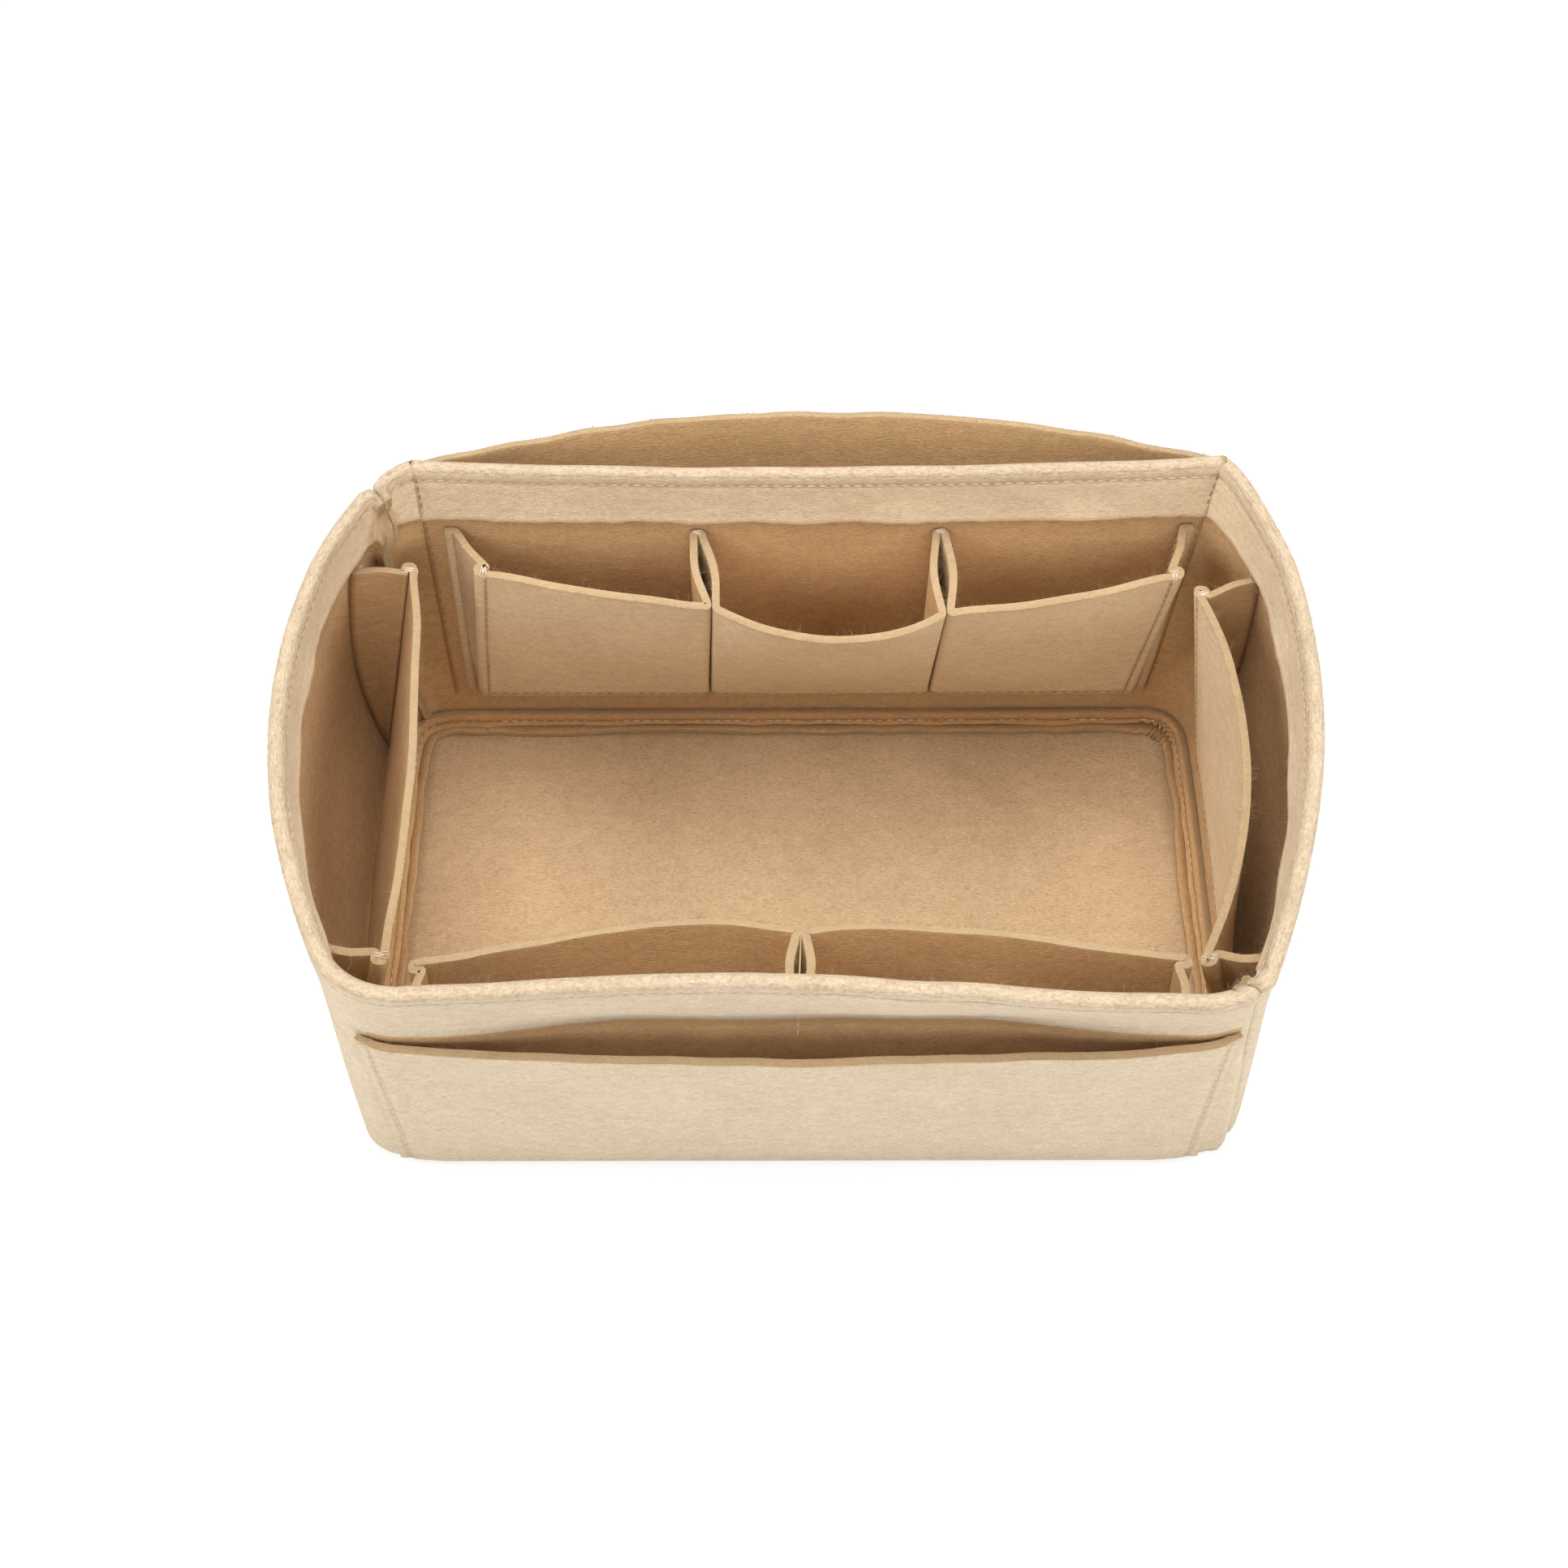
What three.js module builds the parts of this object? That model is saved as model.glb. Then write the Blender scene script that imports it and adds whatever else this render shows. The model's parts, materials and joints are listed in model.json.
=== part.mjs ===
// A felt organizer insert that stands inside a handbag: a floor, two wall panels with a
// folded hem, two outer slip pockets and four strips of inner pockets.
// Millimetres, X to the right, Y to the back, Z up, origin at the middle of the base underside.
import * as THREE from 'three';

// Felt and clearances
const FELT = 2.5; // thickness of the felt
const CLEARANCE = 0.3; // gap between pieces that lie against each other
const LEAST_LAYER = 0.6; // thickness that a gusset is pressed to at its foot

// Box
const BASE_LENGTH = 290;
const BASE_DEPTH = 180;
const HEIGHT = 133;
const BASE_CORNER = 18; // length of a base corner's rounding along each side
const RIM_FRONT_CORNER = 20; // the same at the front corners of the rim
const RIM_LEFT_CREASE = 14; // distance of the rim's back creases from its corners
const RIM_RIGHT_CREASE = 10;
const RIM_CORNER_SIDE = 42; // length of the rim's back roundings along the side walls
const CREASE_SHARPNESS = 0.35; // of those roundings: 0 is round, 1 a straight chamfer

// How far the rim stands from the base outline, positive outwards
const BACK_FLARE = 6.5;
const FRONT_FLARE = 11;
const RIM_BACK_LEFT = -4.5;
const RIM_FRONT_LEFT = -16;
const RIM_BACK_RIGHT = 5;
const RIM_FRONT_RIGHT = -16;
const LEFT_BULGE = 25.5; // bow of the rim between its corners
const RIGHT_BULGE = 20;
const BACK_BOW = -5;
const FRONT_BOW = -2.5;
const LEFT_BELLY = 10.5; // extra bow of the back corners at mid height
const RIGHT_BELLY = 5;
const ROLL_POWER = 3; // the front and the bows flare mostly near the rim
const LEAN_POWER = 1.3; // the front corners lean in more towards the rim

// Hem and seams
const HEM = 24; // depth of the folded hem
const SEAM_ALLOWANCE = 5; // raw edges standing inside at the upright seams
const BASE_ALLOWANCE = 8; // height of the floor's turned-up edge
const BASE_EDGE = 2 * FELT; // thickness of that edge, two layers

// Inner pockets
const POCKET_FOOT = 21; // height of the seam at the foot of the pockets
const POCKET_DROP = 1; // distance from the hem's lower edge down to the pocket mouths
const POCKET_TOP = HEIGHT - HEM - POCKET_DROP;
const FOLD = 4; // width of the top-stitched fold at a pocket end
const FLANGE = 3.4; // reach of the gusset's flange along the wall
const PLEAT_EYE = 4; // widest gap between the two layers of a pleat
const PLEAT_PINCH = 0.6; // gap between the layers where they are pinched at the front

// Outer pockets
const FRONT_SLIP_MARGIN = 14; // distance of its sides from the base corners
const FRONT_SLIP_FOOT = 2;
const FRONT_SLIP_DROP = 43; // distance from the rim down to the mouth
const FRONT_SLIP_GAP = 6; // how far the mouth stands open at its middle
const REAR_SLIP_REACH = 0.04; // share of the back corner roundings that its sides reach round
const REAR_SLIP_FOOT = 18;
const REAR_SLIP_GAP = 25;

// Number of steps in the lofts
const CORNER_STEPS = 10;
const SIDE_STEPS = 8;
const WALL_RISE_STEPS = 8;
const PANEL_STEPS = 12;
const PANEL_RISE_STEPS = 4;
const SLIP_STEPS = 24;

// The wall outline is one closed path, seen from above it runs anticlockwise:
// 0 back-left corner, 1 left, 2 front-left corner, 3 front, 4 front-right corner,
// 5 right, 6 back-right corner, 7 back. A station is the segment plus a share of it.
const BACK_SIDE = 7;
const OUTLINE_SEGMENTS = 8;
const BACK_LEFT_SEAM = 0.4;
const FRONT_RIGHT_SEAM = 4.6;

const lerp = THREE.MathUtils.lerp;
const plan = (x, y) => new THREE.Vector2(x, y);

const bellyAt = (share) => 4 * share * (1 - share);

function cornersAt(share) {
  const belly = bellyAt(share);
  const lean = share ** LEAN_POWER;
  const halfLength = BASE_LENGTH / 2;
  const back = BASE_DEPTH / 2 + BACK_FLARE * share;
  const front = -BASE_DEPTH / 2 - FRONT_FLARE * share ** ROLL_POWER;
  return {
    backLeft: plan(-halfLength - RIM_BACK_LEFT * share - LEFT_BELLY * belly, back),
    frontLeft: plan(-halfLength - RIM_FRONT_LEFT * lean, front),
    frontRight: plan(halfLength + RIM_FRONT_RIGHT * lean, front),
    backRight: plan(halfLength + RIM_BACK_RIGHT * share + RIGHT_BELLY * belly, back),
  };
}

// One side of the outline between two corners, trimmed where the corner roundings start.
function sideBetween(start, end, bulge, startTrim, endTrim) {
  const chord = end.clone().sub(start);
  const length = chord.length();
  const outward = plan(chord.y, -chord.x).divideScalar(length);
  const point = (t) => start.clone().lerp(end, t).addScaledVector(outward, bulge * 4 * t * (1 - t));
  const slope = (t) => chord.clone().addScaledVector(outward, bulge * 4 * (1 - 2 * t));
  const first = startTrim / length;
  const last = 1 - endTrim / length;
  return {
    at: (t) => point(lerp(first, last, t)),
    start: point(first),
    startSlope: slope(first),
    end: point(last),
    endSlope: slope(last),
  };
}

// A rounding from the end of one side to the start of the next.
function cornerBetween(before, after, sharpness) {
  const between = after.start.clone().sub(before.end);
  const reach = between.cross(after.startSlope) / before.endSlope.cross(after.startSlope);
  const control = before.end.clone().addScaledVector(before.endSlope, reach);
  control.lerp(before.end.clone().lerp(after.start, 0.5), sharpness);
  const curve = new THREE.QuadraticBezierCurve(before.end, control, after.start);
  return { at: (t) => curve.getPoint(t) };
}

function outlineAt(share) {
  const { backLeft, frontLeft, frontRight, backRight } = cornersAt(share);
  const rolled = share ** ROLL_POWER;
  const trim = (atRim) => lerp(BASE_CORNER, atRim, share);
  const frontTrim = trim(RIM_FRONT_CORNER);
  const sideTrim = trim(RIM_CORNER_SIDE);
  const left = sideBetween(backLeft, frontLeft, LEFT_BULGE * share, sideTrim, frontTrim);
  const front = sideBetween(frontLeft, frontRight, FRONT_BOW * rolled, frontTrim, frontTrim);
  const right = sideBetween(frontRight, backRight, RIGHT_BULGE * share, frontTrim, sideTrim);
  const rightCrease = trim(RIM_RIGHT_CREASE) + RIGHT_BELLY * bellyAt(share);
  const leftCrease = trim(RIM_LEFT_CREASE) + LEFT_BELLY * bellyAt(share);
  const back = sideBetween(backRight, backLeft, BACK_BOW * rolled, rightCrease, leftCrease);
  const sharpness = CREASE_SHARPNESS * share;
  return [
    cornerBetween(back, left, sharpness),
    left,
    cornerBetween(left, front, 0),
    front,
    cornerBetween(front, right, 0),
    right,
    cornerBetween(right, back, sharpness),
    back,
  ];
}

const outlines = new Map();

function outlinePoint(station, share) {
  if (!outlines.has(share)) outlines.set(share, outlineAt(share));
  const wrapped = THREE.MathUtils.euclideanModulo(station, OUTLINE_SEGMENTS);
  const segment = Math.floor(wrapped);
  return outlines.get(share)[segment].at(wrapped - segment);
}

// A point on the wall at a station and height, moved inwards from the outer face and
// shifted along the wall.
function wallPoint(station, height, inset, shift = 0) {
  const share = THREE.MathUtils.clamp(height / HEIGHT, 0, 1);
  const step = 0.01;
  const along = outlinePoint(station + step, share).sub(outlinePoint(station - step, share));
  along.normalize();
  const inward = plan(-along.y, along.x);
  const point = outlinePoint(station, share).addScaledVector(inward, inset).addScaledVector(along, shift);
  return new THREE.Vector3(point.x, point.y, height);
}

// The steps of the wall lofts that lie between two stations.
function stationsBetween(from, to) {
  const stations = [];
  for (let segment = Math.floor(from); segment < to; segment++) {
    const steps = segment % 2 === 0 ? CORNER_STEPS : SIDE_STEPS;
    stations.push(...range(segment, segment + 1, steps).slice(0, -1));
  }
  return stations.filter((station) => station > from && station < to);
}

// Each wall side: its range of stations, the coordinate that runs along it and the
// direction in which a pocket on it opens.
const WALLS = {
  back: { from: 6.5, to: 8.45, axis: 'x', open: new THREE.Vector3(0, -1, 0) },
  left: { from: 0.2, to: 2.5, axis: 'y', open: new THREE.Vector3(1, 0, 0) },
  front: { from: 2.5, to: 4.5, axis: 'x', open: new THREE.Vector3(0, 1, 0) },
  right: { from: 4.5, to: 6.8, axis: 'y', open: new THREE.Vector3(-1, 0, 0) },
};

// The wall point whose coordinate along the wall is given.
function wallPointAlong(wall, along, height, inset) {
  let { from, to } = wall;
  const rising = wallPoint(to, height, inset)[wall.axis] > wallPoint(from, height, inset)[wall.axis];
  for (let i = 0; i < 40; i++) {
    const middle = (from + to) / 2;
    const short = wallPoint(middle, height, inset)[wall.axis] < along;
    if (short === rising) from = middle;
    else to = middle;
  }
  return wallPoint((from + to) / 2, height, inset);
}

function range(from, to, steps) {
  return Array.from({ length: steps + 1 }, (_, i) => lerp(from, to, i / steps));
}

function capTriangles(loop) {
  const normal = new THREE.Vector3();
  loop.forEach((point, i) => normal.add(point.clone().cross(loop[(i + 1) % loop.length])));
  normal.normalize();
  const helper = Math.abs(normal.z) < 0.9 ? new THREE.Vector3(0, 0, 1) : new THREE.Vector3(1, 0, 0);
  const across = helper.cross(normal).normalize();
  const up = normal.clone().cross(across);
  const flat = loop.map((point) => plan(point.dot(across), point.dot(up)));
  return THREE.ShapeUtils.triangulateShape(flat, []);
}

// A closed solid through a row of closed loops, which all have the same number of points.
function loft(loops) {
  const count = loops[0].length;
  const positions = loops.flat().flatMap((point) => point.toArray());
  const indices = [];
  for (let i = 0; i + 1 < loops.length; i++) {
    for (let j = 0; j < count; j++) {
      const a = i * count + j;
      const b = i * count + ((j + 1) % count);
      indices.push(a, b, b + count, a, b + count, a + count);
    }
  }
  const last = (loops.length - 1) * count;
  capTriangles(loops[0]).forEach(([a, b, c]) => indices.push(a, c, b));
  capTriangles(loops[loops.length - 1]).forEach(([a, b, c]) => indices.push(last + a, last + b, last + c));
  const geometry = new THREE.BufferGeometry();
  geometry.setAttribute('position', new THREE.Float32BufferAttribute(positions, 3));
  geometry.setIndex(volumeOf(positions, indices) > 0 ? indices : indices.reverse());
  geometry.computeVertexNormals();
  return geometry;
}

function volumeOf(positions, indices) {
  const corner = (i) => new THREE.Vector3().fromArray(positions, 3 * indices[i]);
  let volume = 0;
  for (let i = 0; i < indices.length; i += 3) {
    volume += corner(i).dot(corner(i + 1).cross(corner(i + 2))) / 6;
  }
  return volume;
}

// Wall section as [inset, height] pairs: up the outer face, over the folded rim, down the
// hem and down the inner face. The extra is added to the inset of the inner side, down to
// the turned-up edge of the floor.
function wallSection(extra) {
  const seamFoot = BASE_ALLOWANCE + 2 * CLEARANCE;
  const outer = range(0, HEIGHT - FELT, WALL_RISE_STEPS).map((height) => [0, height]);
  const fold = [0.25, 0.5, 0.75].map((share) => {
    const angle = Math.PI * (1 - share);
    return [FELT + FELT * Math.cos(angle), HEIGHT - FELT + FELT * Math.sin(angle)];
  });
  const hem = [HEIGHT - FELT, HEIGHT - HEM].map((height) => [2 * FELT + extra, height]);
  const inner = range(HEIGHT - HEM, seamFoot, WALL_RISE_STEPS).map((height) => [FELT + extra, height]);
  const foot = [seamFoot - CLEARANCE, 0].map((height) => [FELT, height]);
  return [...outer, ...fold, ...hem, ...inner, ...foot];
}

// A wall panel between two seams, with a seam allowance turned in at each end.
function wallPanel(from, to) {
  const loopAt = (station, extra, shift) =>
    wallSection(extra).map(([inset, height]) => wallPoint(station, height, inset, shift));
  const edge = CLEARANCE / 2;
  const turned = edge + FELT;
  const plain = turned + CLEARANCE;
  const clear = 0.1;
  return loft([
    loopAt(from, SEAM_ALLOWANCE, edge),
    loopAt(from, SEAM_ALLOWANCE, turned),
    loopAt(from, 0, plain),
    ...stationsBetween(from + clear, to - clear).map((station) => loopAt(station, 0, 0)),
    loopAt(to, 0, -plain),
    loopAt(to, SEAM_ALLOWANCE, -turned),
    loopAt(to, SEAM_ALLOWANCE, -edge),
  ]);
}

// The floor with its edge turned up against the walls.
function basePanel() {
  const inset = FELT + CLEARANCE;
  const stations = [0, ...stationsBetween(0, OUTLINE_SEGMENTS)];
  const ring = (height, ringInset) => stations.map((station) => wallPoint(station, height, ringInset));
  return loft([
    ring(0, inset),
    ring(BASE_ALLOWANCE, inset),
    ring(BASE_ALLOWANCE, inset + BASE_EDGE),
    ring(FELT, inset + BASE_EDGE),
  ]);
}

// A felt panel. The place function gives a point on its wall side for a share across the
// panel and a share of its height, and the felt is laid on the open side of that.
function feltPanel(place, open, shares) {
  const rise = range(0, 1, PANEL_RISE_STEPS);
  return loft(
    shares.map((share) => {
      const wallFace = rise.map((height) => place(share, height));
      const openFace = wallFace.map((point) => point.clone().addScaledVector(open, FELT)).reverse();
      return [...wallFace, ...openFace];
    })
  );
}

// The wall side of a pocket front between two ridges, sewn to the wall at its foot. The bow
// is how far its mouth stands proud of the straight line between the ridges, the skew moves
// its fullest point to the later ridge, and the scoop is how far the mouth dips.
function pocketFront(wall, start, end, { bow, skew, scoop }) {
  const inset = FELT + CLEARANCE;
  const mouthAt = (ridge) => {
    const point = wallPointAlong(wall, ridge.wall, POCKET_TOP, inset);
    point[wall.axis] = ridge.front;
    return point.addScaledVector(wall.open, ridge.depth);
  };
  const startMouth = mouthAt(start);
  const endMouth = mouthAt(end);
  const place = (share, height) => {
    const curve = 4 * share * (1 - share);
    const foot = wallPointAlong(wall, lerp(start.foot, end.foot, share), POCKET_FOOT, inset);
    const mouth = startMouth.clone().lerp(endMouth, share);
    mouth.addScaledVector(wall.open, bow * curve * (1 + skew * (2 * share - 1)));
    mouth.z -= scoop * Math.max(curve, 0);
    return foot.lerp(mouth, height);
  };
  return { place, width: end.front - start.front };
}

// The loops of a gusset or pleat, at heights from where the pocket is deep enough for
// pressed felt. The outline function gets what it needs to set out one loop.
function gussetLoops(wall, ridge, frontAt, outline) {
  const first = (4 * LEAST_LAYER) / ridge.depth;
  return range(first, 1, PANEL_RISE_STEPS).map((share) => {
    const height = lerp(POCKET_FOOT, POCKET_TOP, share);
    const along = lerp(ridge.foot, ridge.wall, share);
    const onWall = (shift, depth) => wallPointAlong(wall, along + shift, height, FELT + CLEARANCE + depth);
    const behindFront = (shift, depth) =>
      frontAt(shift, share).addScaledVector(wall.open, -CLEARANCE - depth);
    const room = onWall(0, 0).distanceTo(behindFront(0, 0));
    const layer = Math.min(FELT, (room - LEAST_LAYER) / 2);
    return outline({ onWall, behindFront, layer });
  });
}

// An end gusset: a flange on the wall, the gusset itself and a fold behind the front.
// Outward is the sign of the direction away from the pocket.
function endGusset(wall, ridge, frontAt, outward) {
  const half = (outward * FELT) / 2;
  const flange = outward * FLANGE;
  const fold = outward * FOLD;
  return loft(
    gussetLoops(wall, ridge, frontAt, ({ onWall, behindFront, layer }) => [
      onWall(-half, 0),
      onWall(flange, 0),
      onWall(flange, layer),
      onWall(half, layer),
      behindFront(half, layer),
      behindFront(fold, layer),
      behindFront(fold, 0),
      behindFront(-half, 0),
    ])
  );
}

// A pleat between two pockets: two layers joined at the wall and pinched at the front.
function pleat(wall, ridge, frontAt) {
  const pinch = PLEAT_PINCH / 2;
  const eye = PLEAT_EYE / 2;
  const middle = (a, b, shift) => {
    const point = a.lerp(b, 0.5);
    point[wall.axis] += shift;
    return point;
  };
  return loft(
    gussetLoops(wall, ridge, frontAt, ({ onWall, behindFront, layer }) => {
      const swell = eye - pinch;
      const side = (sign, inset) => {
        const shift = sign * (pinch + inset);
        return middle(onWall(shift, 0), behindFront(shift, 0), sign * swell);
      };
      return [
        behindFront(-pinch - FELT, 0),
        side(-1, FELT),
        onWall(-pinch - FELT, 0),
        onWall(pinch + FELT, 0),
        side(1, FELT),
        behindFront(pinch + FELT, 0),
        behindFront(pinch, 0),
        side(1, 0),
        onWall(pinch, layer),
        onWall(-pinch, layer),
        side(-1, 0),
        behindFront(-pinch, 0),
      ];
    })
  );
}

// An outer slip pocket, sewn at its sides and foot and open at its mouth, which stands off
// most at its middle. The wallAt function gives the wall's outer face for a share across
// the pocket and a height.
function slipPocket(wall, wallAt, shares, { foot, top, gap }) {
  const outward = wall.open.clone().negate();
  const place = (share, rise) => {
    const stand = CLEARANCE + gap * 4 * share * (1 - share) * rise;
    return wallAt(share, lerp(foot, top, rise)).addScaledVector(outward, stand);
  };
  return feltPanel(place, outward, shares);
}

// The front pocket's sides stand upright, and its sections gather towards them.
function frontSlipPocket() {
  const side = BASE_LENGTH / 2 - FRONT_SLIP_MARGIN;
  const wallAt = (share, height) => wallPointAlong(WALLS.front, lerp(-side, side, share), height, 0);
  const shares = range(0, Math.PI, SLIP_STEPS).map((angle) => (1 - Math.cos(angle)) / 2);
  const size = { foot: FRONT_SLIP_FOOT, top: HEIGHT - FRONT_SLIP_DROP, gap: FRONT_SLIP_GAP };
  return slipPocket(WALLS.front, wallAt, shares, size);
}

// The rear pocket's sides follow the back creases.
function rearSlipPocket() {
  const first = BACK_SIDE - REAR_SLIP_REACH;
  const last = BACK_SIDE + 1 + REAR_SLIP_REACH;
  const wallAt = (share, height) => wallPoint(lerp(first, last, share), height, 0);
  const stations = [first, ...stationsBetween(first, last), last];
  const shares = stations.map((station) => (station - first) / (last - first));
  const size = { foot: REAR_SLIP_FOOT, top: HEIGHT, gap: REAR_SLIP_GAP };
  return slipPocket(WALLS.back, wallAt, shares, size);
}

// The pocket strips. Margins are the distances from the base corners to the end gussets on
// the wall, and the ridges divide the length between evenly. For each ridge, footShift and
// frontShift are how far along the wall its foot and its front lie from there.
const STRIPS = {
  back: {
    wall: WALLS.back,
    half: BASE_LENGTH / 2,
    startMargin: 29.7,
    endMargin: 14.8,
    ridges: [
      { footShift: 1.4, frontShift: 12, depth: 19 },
      { footShift: 1.2, frontShift: 5.7, depth: 32 },
      { footShift: 0, frontShift: 0.7, depth: 35 },
      { footShift: -10, frontShift: -6, depth: 22 },
    ],
    fronts: [
      { name: 'back_pocket_left_front', bow: 1, skew: 0, scoop: 0 },
      { name: 'back_pocket_middle_front', bow: 9, skew: 0, scoop: 5 },
      { name: 'back_pocket_right_front', bow: 2, skew: 0, scoop: 0 },
    ],
    gussets: ['back_pocket_left_gusset', 'back_pocket_right_gusset'],
    pleats: ['back_pocket_left_pleat', 'back_pocket_right_pleat'],
  },
  left: {
    wall: WALLS.left,
    half: BASE_DEPTH / 2,
    startMargin: 18.5,
    endMargin: 17.5,
    ridges: [
      { footShift: 9.5, frontShift: -1.7, depth: 18.5 },
      { footShift: -11, frontShift: -0.5, depth: 20 },
    ],
    fronts: [{ name: 'left_pocket_front', bow: 3.8, skew: 0, scoop: 0 }],
    gussets: ['left_pocket_front_gusset', 'left_pocket_back_gusset'],
    pleats: [],
  },
  right: {
    wall: WALLS.right,
    half: BASE_DEPTH / 2,
    startMargin: 14,
    endMargin: 22.1,
    ridges: [
      { footShift: 12, frontShift: 1.5, depth: 17 },
      { footShift: -11, frontShift: -7.3, depth: 19.3 },
    ],
    fronts: [{ name: 'right_pocket_front', bow: -13.4, skew: 0, scoop: 0 }],
    gussets: ['right_pocket_front_gusset', 'right_pocket_back_gusset'],
    pleats: [],
  },
  front: {
    wall: WALLS.front,
    half: BASE_LENGTH / 2,
    startMargin: 34,
    endMargin: 33,
    ridges: [
      { footShift: 0, frontShift: 1.2, depth: 15 },
      { footShift: -2, frontShift: 0.5, depth: 22.5 },
      { footShift: 0, frontShift: -1, depth: 16 },
    ],
    fronts: [
      { name: 'front_pocket_left_front', bow: 6, skew: 0.6, scoop: 0 },
      { name: 'front_pocket_right_front', bow: 4, skew: -0.6, scoop: 0 },
    ],
    gussets: ['front_pocket_left_gusset', 'front_pocket_right_gusset'],
    pleats: ['front_pocket_pleat'],
  },
};

// Felt finishes
const FELT_OUTSIDE = { color: 0xd9c29a, roughness: 1, metalness: 0 };
const FELT_INSIDE = { color: 0xc9a97d, roughness: 1, metalness: 0 };
const FELT_FLOOR = { color: 0xc6a47c, roughness: 1, metalness: 0 };

const organizer = new THREE.Group();

function addPiece(name, geometry, finish) {
  const piece = new THREE.Mesh(geometry, new THREE.MeshStandardMaterial(finish));
  piece.name = name;
  organizer.add(piece);
}

// One strip of pockets along a wall: fronts between neighbouring ridges, a gusset at each
// end and a pleat at each ridge between.
function addPocketStrip({ wall, half, startMargin, endMargin, ridges, fronts, gussets, pleats }) {
  const last = ridges.length - 1;
  const places = range(startMargin - half, half - endMargin, last);
  const set = ridges.map(({ footShift, frontShift, depth }, i) => ({
    foot: places[i] + footShift,
    wall: places[i],
    front: places[i] + frontShift,
    depth,
  }));
  const panels = fronts.map((shape, i) => pocketFront(wall, set[i], set[i + 1], shape));
  panels.forEach(({ place, width }, i) => {
    const first = (i === 0 ? -FOLD : CLEARANCE / 2) / width;
    const end = 1 + (i + 1 === last ? FOLD : -CLEARANCE / 2) / width;
    addPiece(fronts[i].name, feltPanel(place, wall.open, range(first, end, PANEL_STEPS)), FELT_INSIDE);
  });
  // The wall side of the fronts, a shift along the wall from a ridge.
  const frontAt = (ridge) => (shift, height) => {
    const before = ridge === last || (ridge > 0 && shift < 0);
    const { place, width } = panels[before ? ridge - 1 : ridge];
    return place((before ? 1 : 0) + shift / width, height);
  };
  addPiece(gussets[0], endGusset(wall, set[0], frontAt(0), -1), FELT_INSIDE);
  addPiece(gussets[1], endGusset(wall, set[last], frontAt(last), 1), FELT_INSIDE);
  pleats.forEach((name, i) => addPiece(name, pleat(wall, set[i + 1], frontAt(i + 1)), FELT_INSIDE));
}

addPiece('base_panel', basePanel(), FELT_FLOOR);
addPiece('left_front_wall', wallPanel(BACK_LEFT_SEAM, FRONT_RIGHT_SEAM), FELT_OUTSIDE);
addPiece('back_right_wall', wallPanel(FRONT_RIGHT_SEAM, OUTLINE_SEGMENTS + BACK_LEFT_SEAM), FELT_OUTSIDE);
Object.values(STRIPS).forEach(addPocketStrip);
addPiece('front_outer_pocket', frontSlipPocket(), FELT_OUTSIDE);
addPiece('rear_outer_pocket', rearSlipPocket(), FELT_OUTSIDE);

export default organizer;
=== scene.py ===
"""Felt, thread and stage for a handbag insert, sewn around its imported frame.

Shapes are worked out in millimetres and become metres when a mesh is made.
"""

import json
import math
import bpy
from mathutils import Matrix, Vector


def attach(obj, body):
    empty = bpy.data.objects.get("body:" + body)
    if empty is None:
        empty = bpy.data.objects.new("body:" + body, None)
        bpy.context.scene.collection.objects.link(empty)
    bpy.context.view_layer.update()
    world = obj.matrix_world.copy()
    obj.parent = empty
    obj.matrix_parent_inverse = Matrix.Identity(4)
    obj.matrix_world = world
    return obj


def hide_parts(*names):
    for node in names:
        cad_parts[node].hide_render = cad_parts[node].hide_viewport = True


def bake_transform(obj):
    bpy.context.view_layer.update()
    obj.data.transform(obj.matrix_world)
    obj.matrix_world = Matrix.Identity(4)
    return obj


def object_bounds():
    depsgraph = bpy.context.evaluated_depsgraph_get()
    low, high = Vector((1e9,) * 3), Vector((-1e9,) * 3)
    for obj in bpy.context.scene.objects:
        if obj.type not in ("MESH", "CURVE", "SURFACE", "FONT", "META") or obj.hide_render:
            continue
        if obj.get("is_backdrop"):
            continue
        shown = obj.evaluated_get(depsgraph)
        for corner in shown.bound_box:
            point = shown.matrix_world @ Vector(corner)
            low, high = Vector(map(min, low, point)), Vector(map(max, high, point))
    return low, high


bl_info = {
    "name": "Felt Handbag Insert",
    "version": (1, 0, 0),
    "blender": (4, 5, 0),
    "location": "View3D > Sidebar > Insert",
    "description": "Makes the felt sheets, stitches, fibres and stage of a handbag insert",
    "category": "Object",
}

import bmesh
import bpy
import numpy as np
from bpy.props import FloatProperty, FloatVectorProperty, PointerProperty
from mathutils import Matrix, Vector

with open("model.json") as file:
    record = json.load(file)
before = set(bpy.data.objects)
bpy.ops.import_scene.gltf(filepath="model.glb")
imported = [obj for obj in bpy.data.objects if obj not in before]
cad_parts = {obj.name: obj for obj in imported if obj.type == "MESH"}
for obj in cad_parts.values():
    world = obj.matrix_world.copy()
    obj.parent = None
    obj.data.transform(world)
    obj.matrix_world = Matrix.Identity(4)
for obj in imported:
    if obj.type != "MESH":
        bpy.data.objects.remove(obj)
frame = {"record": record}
CAD_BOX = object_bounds()
BODY_NODES = frame["record"]["behaviour"]["bodies"]

MM = 0.001
UP = np.array((0.0, 0.0, 1.0))
BACKWARD = np.array((0.0, 1.0, 0.0))

# Felt and clearances
FELT = 2.5
HALF = FELT / 2
CLEARANCE = 0.3

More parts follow.
